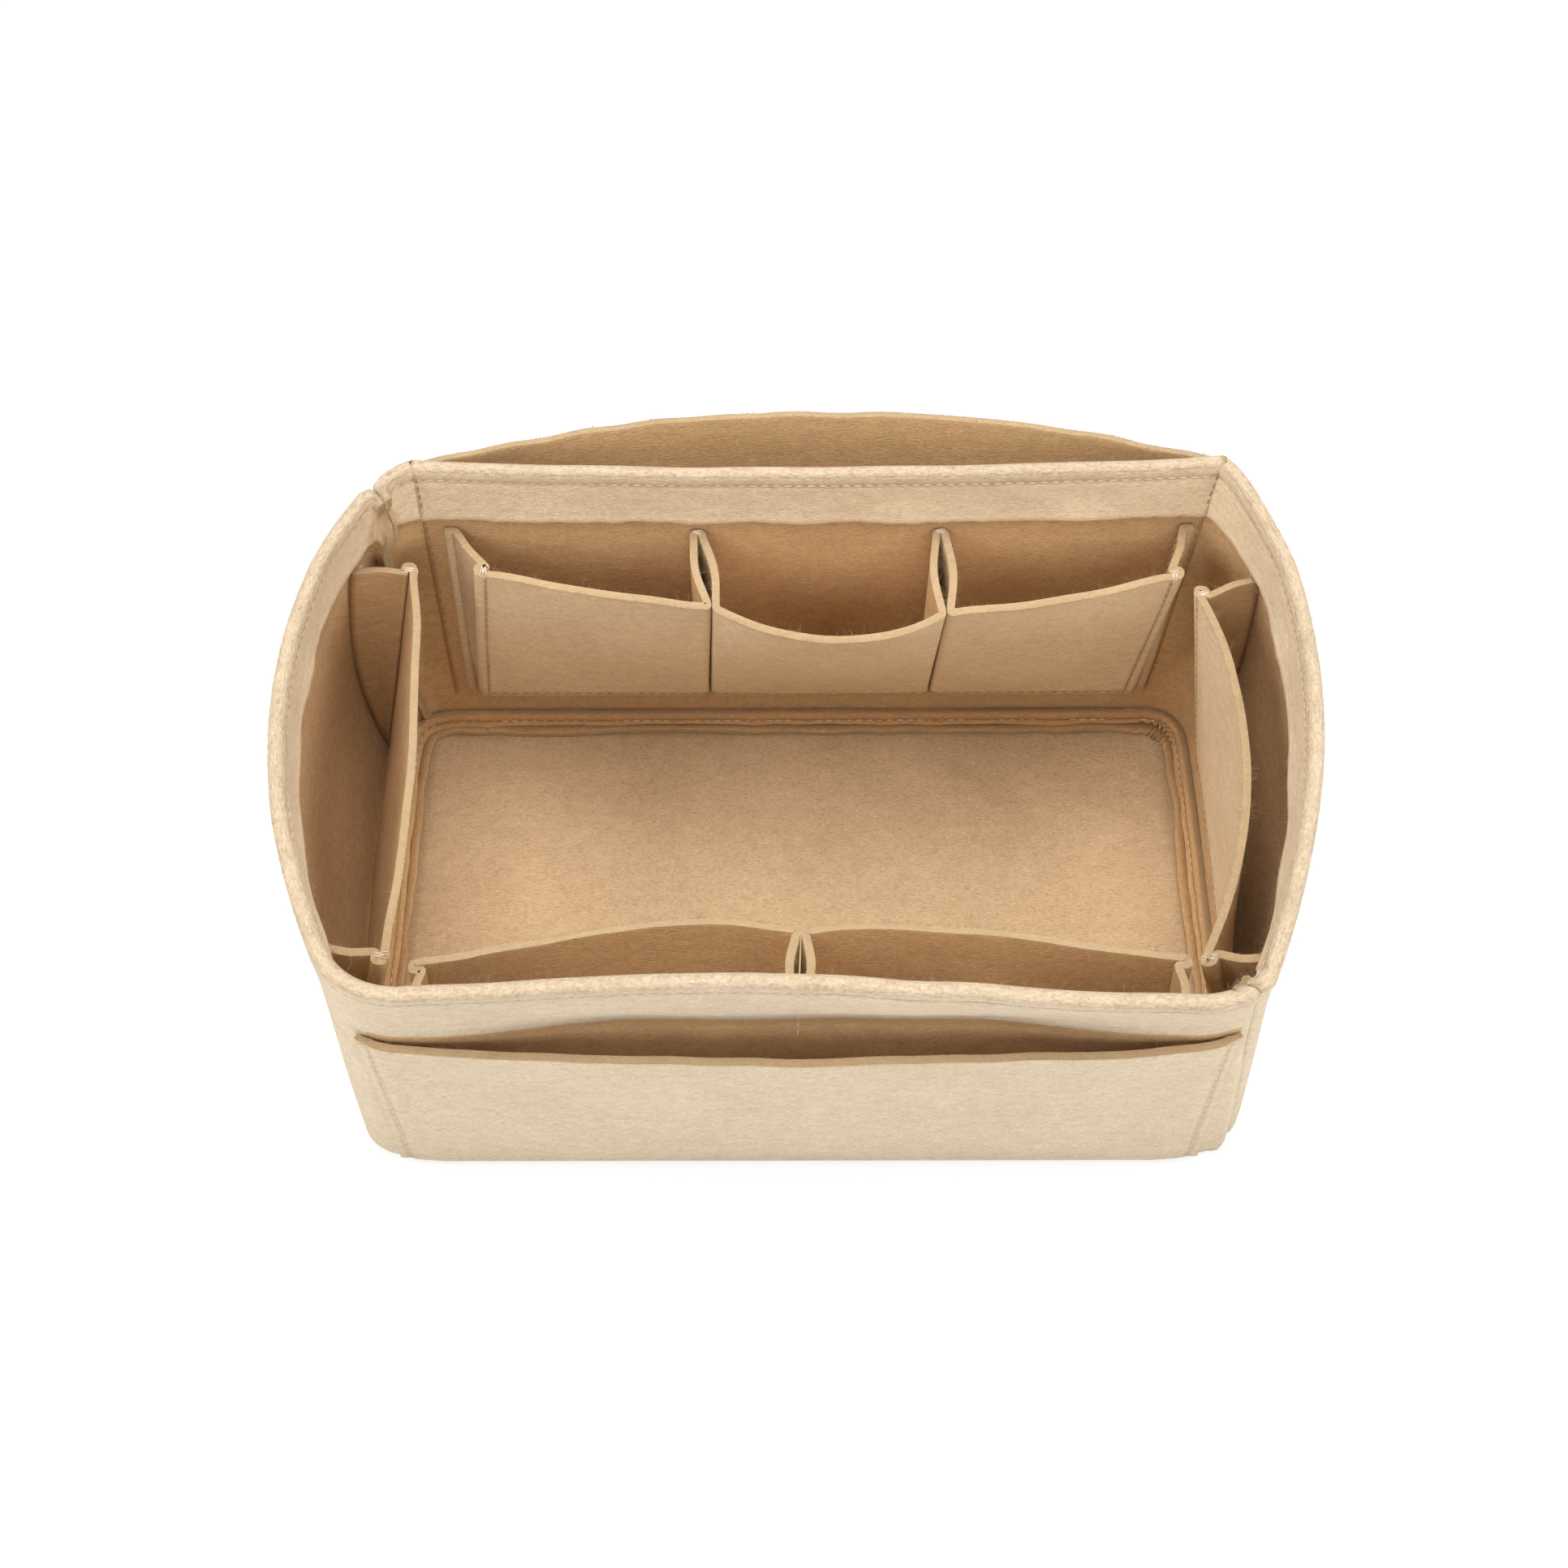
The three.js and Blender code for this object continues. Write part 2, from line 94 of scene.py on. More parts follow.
# Box, as in the part's source
BASE_LENGTH = 290
BASE_DEPTH = 180
HEIGHT = 133
BASE_CORNER = 18
RIM_FRONT_CORNER = 20
RIM_LEFT_CREASE = 14
RIM_RIGHT_CREASE = 10
RIM_CORNER_SIDE = 42
CREASE_SHARPNESS = 0.35
BACK_FLARE = 6.5
FRONT_FLARE = 11
RIM_BACK_LEFT = -4.5
RIM_FRONT_LEFT = -16
RIM_BACK_RIGHT = 5
RIM_FRONT_RIGHT = -16
LEFT_BULGE = 25.5
RIGHT_BULGE = 20
BACK_BOW = -5
FRONT_BOW = -2.5
LEFT_BELLY = 10.5
RIGHT_BELLY = 5
ROLL_POWER = 3
LEAN_POWER = 1.3

# Hem, seams and pockets, as in the part's source
HEM = 24
HEM_EDGE = HEIGHT - HEM
ALLOWANCE_END = 7.5
POCKET_FOOT = 21
POCKET_TOP = 108
FOLD = 4
FLANGE = 3.4
PLEAT_EYE = 4
FRONT_SLIP_SIDE = 131
FRONT_SLIP_FOOT = 2
FRONT_SLIP_TOP = 90
FRONT_SLIP_GAP = 6
REAR_SLIP_REACH = 0.04
REAR_SLIP_WIDTH = 254
REAR_SLIP_FOOT = 18
REAR_SLIP_GAP = 25

# Stations of the wall outline, seen from above it runs anticlockwise: 0 back-left corner,
# 1 left, 2 front-left corner, 3 front, 4 front-right corner, 5 right, 6 back-right corner, 7 back
OUTLINE_SEGMENTS = 8
RIGHT_CREASE = 7
LEFT_CREASE = 8
BACK_LEFT_SEAM = 0.4
FRONT_RIGHT_SEAM = 4.6

# How far each seam's allowance reaches into the box at the hem
SEAM_REACH = {BACK_LEFT_SEAM: 9.0, FRONT_RIGHT_SEAM: 6.9}

# Heights of stitch lines, and their distance from a pocket's sides
RIM_STITCH = 127.2
BAND_STITCH = 6.4
REAR_FOOT_STITCH = 20.5
FRONT_SIDE_STITCH = 3.6
REAR_SIDE_STITCH = 4

# Inset of the hem's visible face
HEM_FACE = 5.13

# How far the felt of a seam's allowance is pressed together, the slit of a pleat, and the gap
# behind a folded end
FLAP_PRESS = 0.6
SLIT = 0.15
FOLD_GAP = 0.04

# How far the front wall is sunk above its slip pocket, where most, and over what height
FRONT_SINK = 5.5
FRONT_SINK_HEIGHT = 91
FRONT_SINK_REACH = 14

# Height at which the rolled rim has its full shape
CREST = 131

# Where the rim is out of its plain outline: stations where that starts, is full, and ends, the
# shift, and the share of it that the hem's lower edge follows
RIM_SHIFTS = (
    (6.2, 7.0, 8.2, 9.4, (0, 2.0, 3.2), 1.0),
    (3.35, 4.0, 4.6, 5.4, (0.5, -3.4, -4.6), 0.0),
    (1.6, 2.3, 2.9, 3.45, (0, -1.8, -2.2), 0.0),
)

# Spacing of the columns of a wall's grid, the rows of it on the hem, the row past its rolled rim,
# and the first materials of the hem's faces, whose paler felt is painted light, and of those inside
# the front slip pocket, whose darker felt is painted shade
WALL_SPACING = 2.2
HEM_ROWS = 18
HEM_ROW = 54
LIT_HEM_FINISH = 3
POCKET_SHADE_FINISH = 6

# About the length of one station along the back
STATION_LENGTH = 250

# Layers of the felt's grain: scale, detail, distortion and stretch of the noise, then its weights
# in the tone and in the height
GRAIN = {
    "hairs": ((520, 3, 0.8, 5.0), (1.0, 0.7)),
    "fuzz": ((1100, 2, 0.0, 1.3), (0.35, 0.4)),
    "clouds": ((150, 3, 0.4, 2.0), (0.35, 0.4)),
    "blotches": ((24, 2, 0.0, 1.2), (0.2, 0.0)),
}

# What pressed felt and painted shade are multiplied by, and the powers of the shadow in red, green
# and blue
PRESSED_AND_SHADED_TONE = (0.5, 0.4, 0.3, 1)
SHADOW_POWERS = (1, 1.15, 1.35)

# Seeds of all that is uneven
SEEDS = {
    "left_front_wall": 11, "back_right_wall": 21, "front_slip": 41, "rear_slip": 51, "floor": 61,
    "fronts": 70, "floor_seam_upper": 81, "floor_seam_lower": 85, "box_fibres": 101,
    "pocket_fibres": 111,
}

# Each wall side: its stations, the coordinate along it and the way a pocket on it opens
WALLS = {
    "back": (6.5, 8.45, 0, np.array((0.0, -1.0, 0.0))),
    "left": (0.2, 2.5, 1, np.array((1.0, 0.0, 0.0))),
    "front": (2.5, 4.5, 0, np.array((0.0, 1.0, 0.0))),
    "right": (4.5, 6.8, 1, np.array((-1.0, 0.0, 0.0))),
}

# Each pocket strip: its body, the margins of its end gussets from the base corners, its
# ridges as (shift of the foot, shift of the front, depth), its fronts as (bow, skew, scoop),
# how far out the feet of its end gussets are sewn to the wall, two points for where it would
# start and stop bending with its body, though it is not bent, and the size it is cut to
STRIPS = {
    "back": {
        "body": "back_pockets",
        "half": BASE_LENGTH / 2,
        "margins": (29.7, 14.8),
        "ridges": ((1.4, 12, 19), (1.2, 5.7, 32), (0, 0.7, 35), (-10, -6, 22)),
        "fronts": ((1, 0, 0), (9, 0, 5), (2, 0, 0)),
        "root": 4.5,
        "bend": ((0, 0.0895, 0.064), (0, 0.0715, 0.064)),
        "flat": (0.46, 0.093),
    },
    "left": {
        "body": "left_pocket",
        "half": BASE_DEPTH / 2,
        "margins": (18.5, 17.5),
        "ridges": ((9.5, -1.7, 18.5), (-11, -0.5, 20)),
        "fronts": ((3.8, 0, 0),),
        "bend": ((-0.1437, 0, 0.064), (-0.1287, 0.0011, 0.064)),
        "flat": (0.205, 0.09),
    },
    "right": {
        "body": "right_pocket",
        "half": BASE_DEPTH / 2,
        "margins": (14, 22.1),
        "ridges": ((12, 1.5, 17), (-11, -7.3, 19.3)),
        "fronts": ((-13.4, 0, 0),),
        "bend": ((0.148, 0, 0.064), (0.1241, 0.0025, 0.064)),
        "flat": (0.205, 0.09),
    },
    "front": {
        "body": "front_pockets",
        "half": BASE_LENGTH / 2,
        "margins": (34, 33),
        "ridges": ((0, 1.2, 15), (-2, 0.5, 22.5), (0, -1, 16)),
        "fronts": ((6, 0.6, 0), (4, -0.6, 0)),
        "bend": ((0, -0.0885, 0.064), (0, -0.0735, 0.064)),
        "flat": (0.34, 0.09),
    },
}

# Soft lamps: where each stands, and its share of their power
SOFTBOXES = (
    ("overhead", (0, 0, 1.5), 0.16),
    ("overhead_rear", (0, 0.6, 1.4), 0.19),
    ("front_low", (0, -1.4, 0.85), 0.19),
    ("left_side", (-1.2, -0.2, 1.0), 0.23),
    ("right_side", (1.2, -0.2, 1.0), 0.23),
)
LAMP_SIZE = 1.0
LAMP_AIM = (0, 0, 0.06)

# Camera: its place in millimetres, its pitch, yaw and roll in degrees, and its sensor's width
CAMERA_PLACE = (0.39, -383.2, 648.2)
CAMERA_TURN = (55.64, -0.70, -0.75)
SENSOR = 36

# Half the side of the studio floor, and the share of plain white in what the camera sees of it
FLOOR_SIZE = 6
FLOOR_GLOW = 0.75


def colour_setting(name, description, default):
    return FloatVectorProperty(
        name=name, description=description, subtype="COLOR", size=3, min=0, max=1, default=default,
    )


def length_setting(name, description, low, high, default):
    return FloatProperty(
        name=name, description=description, subtype="DISTANCE", unit="LENGTH", min=low, max=high,
        default=default,
    )


class FeltSettings(bpy.types.PropertyGroup):
    """Colours and sizes of the felt and its sewing"""

    # The outside, pocket front, hem, inside and floor colours are one felt, toned by place for
    # light and shade: the pocket fronts and the hem are painted lighter as painted light, and the
    # inside faces and the floor sheet darker and warmer as painted shade.
    outside: colour_setting(
        "Outside", "Felt on the face that is turned outwards", (0.69, 0.575, 0.425))
    front: colour_setting(
        "Pocket front", "Felt on the fronts of the inner pockets", (0.85, 0.68, 0.46))
    hem: colour_setting("Hem", "Felt of the hem that is turned in at the rim", (0.90, 0.73, 0.52))
    inside: colour_setting(
        "Inside", "Felt on the face that is turned inwards", (0.65, 0.415, 0.21))
    floor: colour_setting("Floor", "Felt of the floor sheet", (0.68, 0.485, 0.30))
    contrast: FloatProperty(
        name="Contrast", description="How much darker the darkest fibres are", subtype="FACTOR",
        min=0, max=0.9, default=0.32,
    )
    cut: colour_setting("Cut edge", "Fresh felt that shows at a cut edge", (0.48, 0.335, 0.19))
    thread: colour_setting("Thread", "Thread of the seams on the walls", (0.72, 0.58, 0.41))
    strip_thread: colour_setting(
        "Strip thread", "Thread of the seams on the pocket strips", (0.40, 0.28, 0.165))
    tack: colour_setting("Tack thread", "Thread of the bar tacks", (0.74, 0.63, 0.48))
    stitch: length_setting("Stitch", "Length of a stitch with its gap", 0.002, 0.008, 0.0038)
    thread_width: length_setting(
        "Thread width", "Width of the sewing thread", 0.0002, 0.002, 0.0007)
    fibre: length_setting("Fibre", "Length of a loose fibre", 0.0005, 0.01, 0.0019)
    fibre_gap: length_setting(
        "Fibre gap", "Mean distance of loose fibres along a cut edge", 0.0002, 0.01, 0.0008)
    edge_round: length_setting("Edge rounding", "Rounding of a cut edge", 0.0001, 0.001, 0.0005)


class StageSettings(bpy.types.PropertyGroup):
    """Floor and light around the insert"""

    floor: colour_setting("Floor", "Colour of the floor", (0.9, 0.9, 0.9))
    fill: FloatProperty(
        name="Fill", description="Strength of the light from all round", min=0, max=2, default=0.02,
    )
    key: FloatProperty(
        name="Lamps", description="Power of all soft lamps together", subtype="POWER",
        unit="POWER", min=0, max=400, default=67,
    )
    lens: FloatProperty(
        name="Lens", description="Focal length of the camera", subtype="DISTANCE_CAMERA",
        unit="CAMERA", min=20, max=200, default=48.6,
    )


def felt_settings():
    return bpy.context.scene.insert_felt


def lerp(a, b, share):
    return a + (b - a) * share


def ease(start, end, value):
    """0 before start, 1 after end and smooth between."""
    share = np.clip((value - start) / (end - start), 0, 1)
    return share * share * (3 - 2 * share)


def bell(distance, width):
    """1 at no distance, falling to 0 over about the width."""
    return np.exp(-((distance / width) ** 2))


def arch(share):
    """0 at both ends and 1 in the middle."""
    return 4 * share * (1 - share)


def gathered(count):
    """Shares from 0 to 1 that lie closer towards both ends."""
    return (1 - np.cos(np.pi * np.linspace(0, 1, count))) / 2


def unit(vectors):
    return vectors / np.maximum(np.linalg.norm(vectors, axis=-1, keepdims=True), 1e-9)


def uneven(seed, size, *coordinates):
    """Gentle unevenness, mostly between -1 and 1, that changes over lengths of about size."""
    draw = np.random.default_rng(seed)
    waves = 8
    total = 0
    for _ in range(waves):
        direction = draw.normal(size=len(coordinates))
        direction *= 2 * np.pi / (size * draw.uniform(0.7, 1.6) * np.linalg.norm(direction))
        phase = draw.uniform(0, 2 * np.pi)
        total = total + np.sin(sum(d * c for d, c in zip(direction, coordinates)) + phase)
    return total / math.sqrt(waves)


def travel_along(line):
    """Distance travelled at each point of a line."""
    steps = np.linalg.norm(np.diff(line, axis=0), axis=1)
    return np.concatenate(([0], np.cumsum(steps)))


def stacked(rows):
    """The grids of what each row holds."""
    return [np.array(grid) for grid in zip(*rows)]


# The wall outline, as in the part's source

def side_between(start, end, bulge, start_trim, end_trim):
    chord = end - start
    length = np.hypot(*chord)
    outward = np.array((chord[1], -chord[0])) / length
    first, last = start_trim / length, 1 - end_trim / length

    def point(share):
        share = np.asarray(share, float)[..., None]
        return start + chord * share + outward * (bulge * arch(share))

    def slope(share):
        return chord + outward * (bulge * 4 * (1 - 2 * share))

    return {
        "at": lambda share: point(lerp(first, last, share)),
        "start": point(first), "start_slope": slope(first),
        "end": point(last), "end_slope": slope(last),
    }


def cross(a, b):
    return a[0] * b[1] - a[1] * b[0]


def corner_between(before, after, sharpness):
    start, end = before["end"], after["start"]
    ahead, onward = before["end_slope"], after["start_slope"]
    reach = cross(end - start, onward) / cross(ahead, onward)
    control = start + ahead * reach
    control = lerp(control, (start + end) / 2, sharpness)

    def at(share):
        share = share[..., None]
        return (1 - share) ** 2 * start + 2 * share * (1 - share) * control + share ** 2 * end

    return {"at": at}


def outline_at(share):
    belly = arch(share)
    lean = share ** LEAN_POWER
    rolled = share ** ROLL_POWER
    half = BASE_LENGTH / 2
    back = BASE_DEPTH / 2 + BACK_FLARE * share
    front = -BASE_DEPTH / 2 - FRONT_FLARE * rolled
    back_left = np.array((-half - RIM_BACK_LEFT * share - LEFT_BELLY * belly, back))
    front_left = np.array((-half - RIM_FRONT_LEFT * lean, front))
    front_right = np.array((half + RIM_FRONT_RIGHT * lean, front))
    back_right = np.array((half + RIM_BACK_RIGHT * share + RIGHT_BELLY * belly, back))
    front_trim = lerp(BASE_CORNER, RIM_FRONT_CORNER, share)
    side_trim = lerp(BASE_CORNER, RIM_CORNER_SIDE, share)
    left = side_between(back_left, front_left, LEFT_BULGE * share, side_trim, front_trim)
    fore = side_between(front_left, front_right, FRONT_BOW * rolled, front_trim, front_trim)
    right = side_between(front_right, back_right, RIGHT_BULGE * share, front_trim, side_trim)
    right_crease = lerp(BASE_CORNER, RIM_RIGHT_CREASE, share) + RIGHT_BELLY * belly
    left_crease = lerp(BASE_CORNER, RIM_LEFT_CREASE, share) + LEFT_BELLY * belly
    rear = side_between(back_right, back_left, BACK_BOW * rolled, right_crease, left_crease)
    sharpness = CREASE_SHARPNESS * share
    return [
        corner_between(rear, left, sharpness), left, corner_between(left, fore, 0), fore,
        corner_between(fore, right, 0), right, corner_between(right, rear, sharpness), rear,
    ]


OUTLINES = {}


def outline_points(stations, share):
    segments = OUTLINES.setdefault(share, outline_at(share))
    wrapped = np.mod(stations, OUTLINE_SEGMENTS)
    points = np.empty((len(wrapped), 2))
    for index, segment in enumerate(segments):
        chosen = np.floor(wrapped) == index
        points[chosen] = segment["at"](wrapped[chosen] - index)
    return points


def wall_points(stations, height, inset, shift=0.0, sunk=FRONT_SINK):
    """Points at stations and one height, moved inwards from the outer face and along the wall.
    The front wall is sunk a little below its rim."""
    stations = np.atleast_1d(np.asarray(stations, float))
    share = float(np.clip(height / HEIGHT, 0, 1))
    step = 0.01
    along = unit(outline_points(stations + step, share) - outline_points(stations - step, share))
    inward = np.stack((-along[:, 1], along[:, 0]), axis=1)
    middle = ease(3.02, 3.3, stations) * ease(3.98, 3.7, stations)
    sunk = sunk * middle * bell(height - FRONT_SINK_HEIGHT, FRONT_SINK_REACH)
    inset = (np.broadcast_to(inset, stations.shape) + sunk)[:, None]
    shift = np.broadcast_to(shift, stations.shape)[:, None]
    plan = outline_points(stations, share) + inward * inset + along * shift
    return np.column_stack((plan, np.full(len(plan), float(height))))


def wall_along(wall, along, height, inset, sunk=FRONT_SINK):
    """Wall points whose coordinate along the wall is given."""
    first, last, axis, _ = WALLS[wall]
    stations = np.linspace(first, last, 600)
    places = wall_points(stations, height, inset)[:, axis]
    order = np.argsort(places)
    return wall_points(np.interp(along, places[order], stations[order]), height, inset, sunk=sunk)


def even_stations(first, last, spacing, share=0.5):
    """Stations between two others, evenly spaced along the outline."""
    dense = np.linspace(first, last, 3000)
    lengths = np.hypot(*np.diff(outline_points(dense, share), axis=0).T)
    travel = np.concatenate(([0], np.cumsum(lengths)))
    count = int(round(travel[-1] / spacing)) + 1
    return np.interp(np.linspace(0, travel[-1], count), travel, dense)


# Meshes

def travelled(points, axis):
    """Distance travelled along the rows or columns of a grid of points."""
    steps = np.linalg.norm(np.diff(points, axis=axis), axis=2)
    zero = np.zeros_like(np.take(steps, [0], axis=axis))
    return np.concatenate((zero, np.cumsum(steps, axis=axis)), axis=axis)


def finished_mesh(bm, name):
    mesh = bpy.data.meshes.new(name)
    bm.to_mesh(mesh)
    bm.free()
    return mesh


def add_object(name, mesh, materials):
    for material in materials:
        mesh.materials.append(material)
    mesh.polygons.foreach_set("use_smooth", np.ones(len(mesh.polygons), bool))
    piece = bpy.data.objects.new(name, mesh)
    bpy.context.scene.collection.objects.link(piece)
    return piece


def make_final(piece):
    """Puts the result of the modifiers into the mesh."""
    depsgraph = bpy.context.evaluated_depsgraph_get()
    mesh = bpy.data.meshes.new_from_object(piece.evaluated_get(depsgraph))
    piece.modifiers.clear()
    piece.data = mesh
    mesh.name = piece.name


def felt_sheet(
    name, materials, points, pressed=None, raw=None, thickness=None, closed=False, finish=None,
):
    """A sheet of felt whose middle lies on a grid of points. Pressed marks stitch lines, as pressed
    felt with painted shade in their groove, and painted shade in creases, joins and corners, and
    raw marks frayed edges, from 0 to 1, thickness is a share of the felt's, and a closed sheet
    joins its last column to its first. A third material goes to the sheet's inward face, and finish
    tells the first material of each face."""
    rows, columns = points.shape[:2]
    along = travelled(points, 1).mean(axis=0) * MM
    rise = travelled(points, 0).mean(axis=1) * MM
    bm = bmesh.new()
    bmesh.ops.create_grid(bm, x_segments=columns - 1, y_segments=rows - 1, size=1)
    uv = bm.loops.layers.uv.new("felt")
    press_and_shade = bm.verts.layers.float.new("pressed")
    fray = bm.verts.layers.float.new("raw")
    group = bm.verts.layers.deform.verify()
    places = points.reshape(-1, 3) * MM

    def listed(values, usual):
        return np.full(len(places), usual) if values is None else values.reshape(-1)

    for vert, place, mark, frayed, share in zip(
        bm.verts, places, listed(pressed, 0.0), listed(raw, 0.0), listed(thickness, 1.0),
    ):
        vert.co = place
        vert[press_and_shade] = mark
        vert[fray] = frayed
        vert[group][0] = share
    bm.verts.index_update()
    for face in bm.faces:
        for loop in face.loops:
            row, column = divmod(loop.vert.index, columns)
            loop[uv].uv = (along[column], rise[row])
        if finish is not None:
            face.material_index = finish[divmod(min(vert.index for vert in face.verts), columns)]
    if closed:
        bmesh.ops.remove_doubles(bm, verts=bm.verts, dist=1e-6)
    piece = add_object(name, finished_mesh(bm, name), materials)
    piece.vertex_groups.new(name="thickness")
    solid = piece.modifiers.new("Felt", "SOLIDIFY")
    solid.thickness = FELT * MM
    solid.offset = 0
    solid.use_quality_normals = True
    solid.vertex_group = "thickness"
    solid.material_offset_rim = 1
    solid.material_offset = 2 if len(materials) > 2 else 0
    edge = piece.modifiers.new("Cut edge", "BEVEL")
    edge.width = felt_settings().edge_round
    edge.segments = 2
    edge.limit_method = "ANGLE"
    edge.angle_limit = math.radians(60)
    make_final(piece)
    return piece


def repeated_shape(name, template, places, materials):
    """One mesh with a copy of the template's vertices at each place."""
    bm = bmesh.new()
    for vertices in places:
        template.vertices.foreach_set("co", (vertices * MM).ravel())
        bm.from_mesh(template)
    mesh = finished_mesh(bm, name)
    bpy.data.meshes.remove(template)
    return add_object(name, mesh, materials)


def template_points(template):
    points = np.empty(len(template.vertices) * 3)
    template.vertices.foreach_get("co", points)
    return points.reshape(-1, 3)


def stitch_template():
    bm = bmesh.new()
    bmesh.ops.create_uvsphere(bm, u_segments=6, v_segments=4, radius=1)
    return finished_mesh(bm, "stitch")


def hair_template():
    """A tapered three-sided hair of length 1, with a ring half way."""
    bm = bmesh.new()
    bmesh.ops.create_cone(bm, cap_ends=True, segments=3, radius1=1, radius2=0.25, depth=1)
    bmesh.ops.translate(bm, vec=(0, 0, 0.5), verts=bm.verts)
    bmesh.ops.bisect_plane(
        bm, geom=bm.verts[:] + bm.edges[:] + bm.faces[:], plane_co=(0, 0, 0.5), plane_no=(0, 0, 1),
    )
    return finished_mesh(bm, "hair")


def fibre_shapes(template, edges, seed):
    """Vertices of the loose fibres on some edges. Each edge is a line, the way its fibres lean
    and their number as a share of the usual."""
    draw = np.random.default_rng(seed)
    hair = template_points(template)
    rise = hair[:, 2:]
    settings = felt_settings()
    radius, spread, curl = 0.045, 0.6, 0.4
    for line, leans, share in edges:
        leans = np.broadcast_to(leans, line.shape)
        travel = travel_along(line)
        count = int(travel[-1] * MM / settings.fibre_gap * share)
        for where in draw.uniform(0, travel[-1], count):
            foot = np.array([np.interp(where, travel, values) for values in line.T])
            lean = np.array([np.interp(where, travel, values) for values in leans.T])
            lean = unit(unit(lean) + draw.normal(size=3) * spread)
            side = unit(np.cross(lean, draw.normal(size=3)))
            bend = draw.normal(size=3) * curl
            length = settings.fibre / MM * draw.uniform(0.3, 1.5)
            round_it = (hair[:, :1] * side + hair[:, 1:2] * np.cross(lean, side)) * radius
            yield foot + round_it + (lean * rise + bend * rise ** 2) * length


def stitch_run(line, normals):
    """Centre, direction and normal of each stitch along a line on the felt."""
    line = np.asarray(line, float)
    normals = np.broadcast_to(normals, line.shape)
    travel = travel_along(line)
    pitch = felt_settings().stitch / MM
    count = max(int(travel[-1] / pitch), 1)
    middles = (np.arange(count) + 0.5) * travel[-1] / count
    half = 0.3 * pitch

    def at(values, where):
        return np.column_stack([np.interp(where, travel, v) for v in values.T])

    heading = unit(at(line, middles + half) - at(line, middles - half))
    return at(line, middles), heading, unit(at(normals, middles))


def thread_shapes(template, runs, length_share):
    """Vertices of the stitches of several runs."""
    sphere = template_points(template)
    settings = felt_settings()
    half_length = settings.stitch / MM * length_share / 2
    half_width = settings.thread_width / MM / 2
    for middles, heading, normals in runs:
        for middle, ahead, normal in zip(middles, heading, normals):
            side = np.cross(normal, ahead)
            basis = np.array((side * half_width, normal * half_width * 0.8, ahead * half_length))
            yield sphere @ basis + middle


# Materials

def set_values(node, **values):
    """Sets properties and inputs of a shader node by name."""
    for name, value in values.items():
        if hasattr(node, name):
            setattr(node, name, value)
        else:
            node.inputs[name.replace("_", " ")].default_value = value


def add_node(tree, kind, **values):
    node = tree.nodes.new(kind)
    set_values(node, **values)
    return node


def grain_group():
    """Felt fibres: a tone and a height that follow a stretched coordinate."""
    name = "Felt grain"
    if name in bpy.data.node_groups:
        return bpy.data.node_groups[name]
    tree = bpy.data.node_groups.new(name, "ShaderNodeTree")
    tree.interface.new_socket("Vector", in_out="INPUT", socket_type="NodeSocketVector")
    tree.interface.new_socket("Tone", in_out="OUTPUT", socket_type="NodeSocketFloat")
    tree.interface.new_socket("Height", in_out="OUTPUT", socket_type="NodeSocketFloat")
    start = tree.nodes.new("NodeGroupInput")
    end = tree.nodes.new("NodeGroupOutput")
    link = tree.links.new

    def noise(scale, detail, distortion, stretch):
        """Noise on the coordinate, drawn out along its first axis."""
        mapping = add_node(tree, "ShaderNodeMapping", Scale=(1, stretch, stretch))
        texture = add_node(
            tree, "ShaderNodeTexNoise", Scale=scale, Detail=detail, Distortion=distortion,
        )
        link(start.outputs["Vector"], mapping.inputs["Vector"])
        link(mapping.outputs["Vector"], texture.inputs["Vector"])
        return texture.outputs["Fac"]

    def weighted(total, value, weight):
        node = add_node(tree, "ShaderNodeMath", operation="MULTIPLY_ADD")
        link(value, node.inputs[0])
        node.inputs[1].default_value = weight
        if total is None:
            node.inputs[2].default_value = 0
        else:
            link(total, node.inputs[2])
        return node.outputs[0]

    layers = [(noise(*layer), *weights) for layer, weights in GRAIN.values()]
    tone = height = None
    for value, tone_weight, height_weight in layers:
        tone = weighted(tone, value, tone_weight)
        if height_weight:
            height = weighted(height, value, height_weight)
    spread = add_node(tree, "ShaderNodeMapRange", From_Min=0.72, From_Max=1.18)
    link(tone, spread.inputs["Value"])
    link(spread.outputs["Result"], end.inputs["Tone"])
    link(height, end.inputs["Height"])
    return tree


def mix_shaders(tree, share, first, second, output):
    """Mixes two shaders by a share and puts the result out."""
    mix = add_node(tree, "ShaderNodeMixShader")
    tree.links.new(share, mix.inputs["Fac"])
    tree.links.new(first, mix.inputs[1])
    tree.links.new(second, mix.inputs[2])
    tree.links.new(mix.outputs["Shader"], tree.nodes[output].inputs["Surface"])


def new_material(name):
    material = bpy.data.materials.new(name)
    material.use_nodes = True
    tree = material.node_tree
    return material, tree, tree.nodes["Principled BSDF"]


def soften(shader):
    """Little gloss and a faint warm sheen, as on loose fibres."""
    set_values(
        shader, Specular_IOR_Level=0.1, Sheen_Weight=0.06, Sheen_Roughness=0.5,
        Sheen_Tint=(1, 0.88, 0.72, 1),
    )


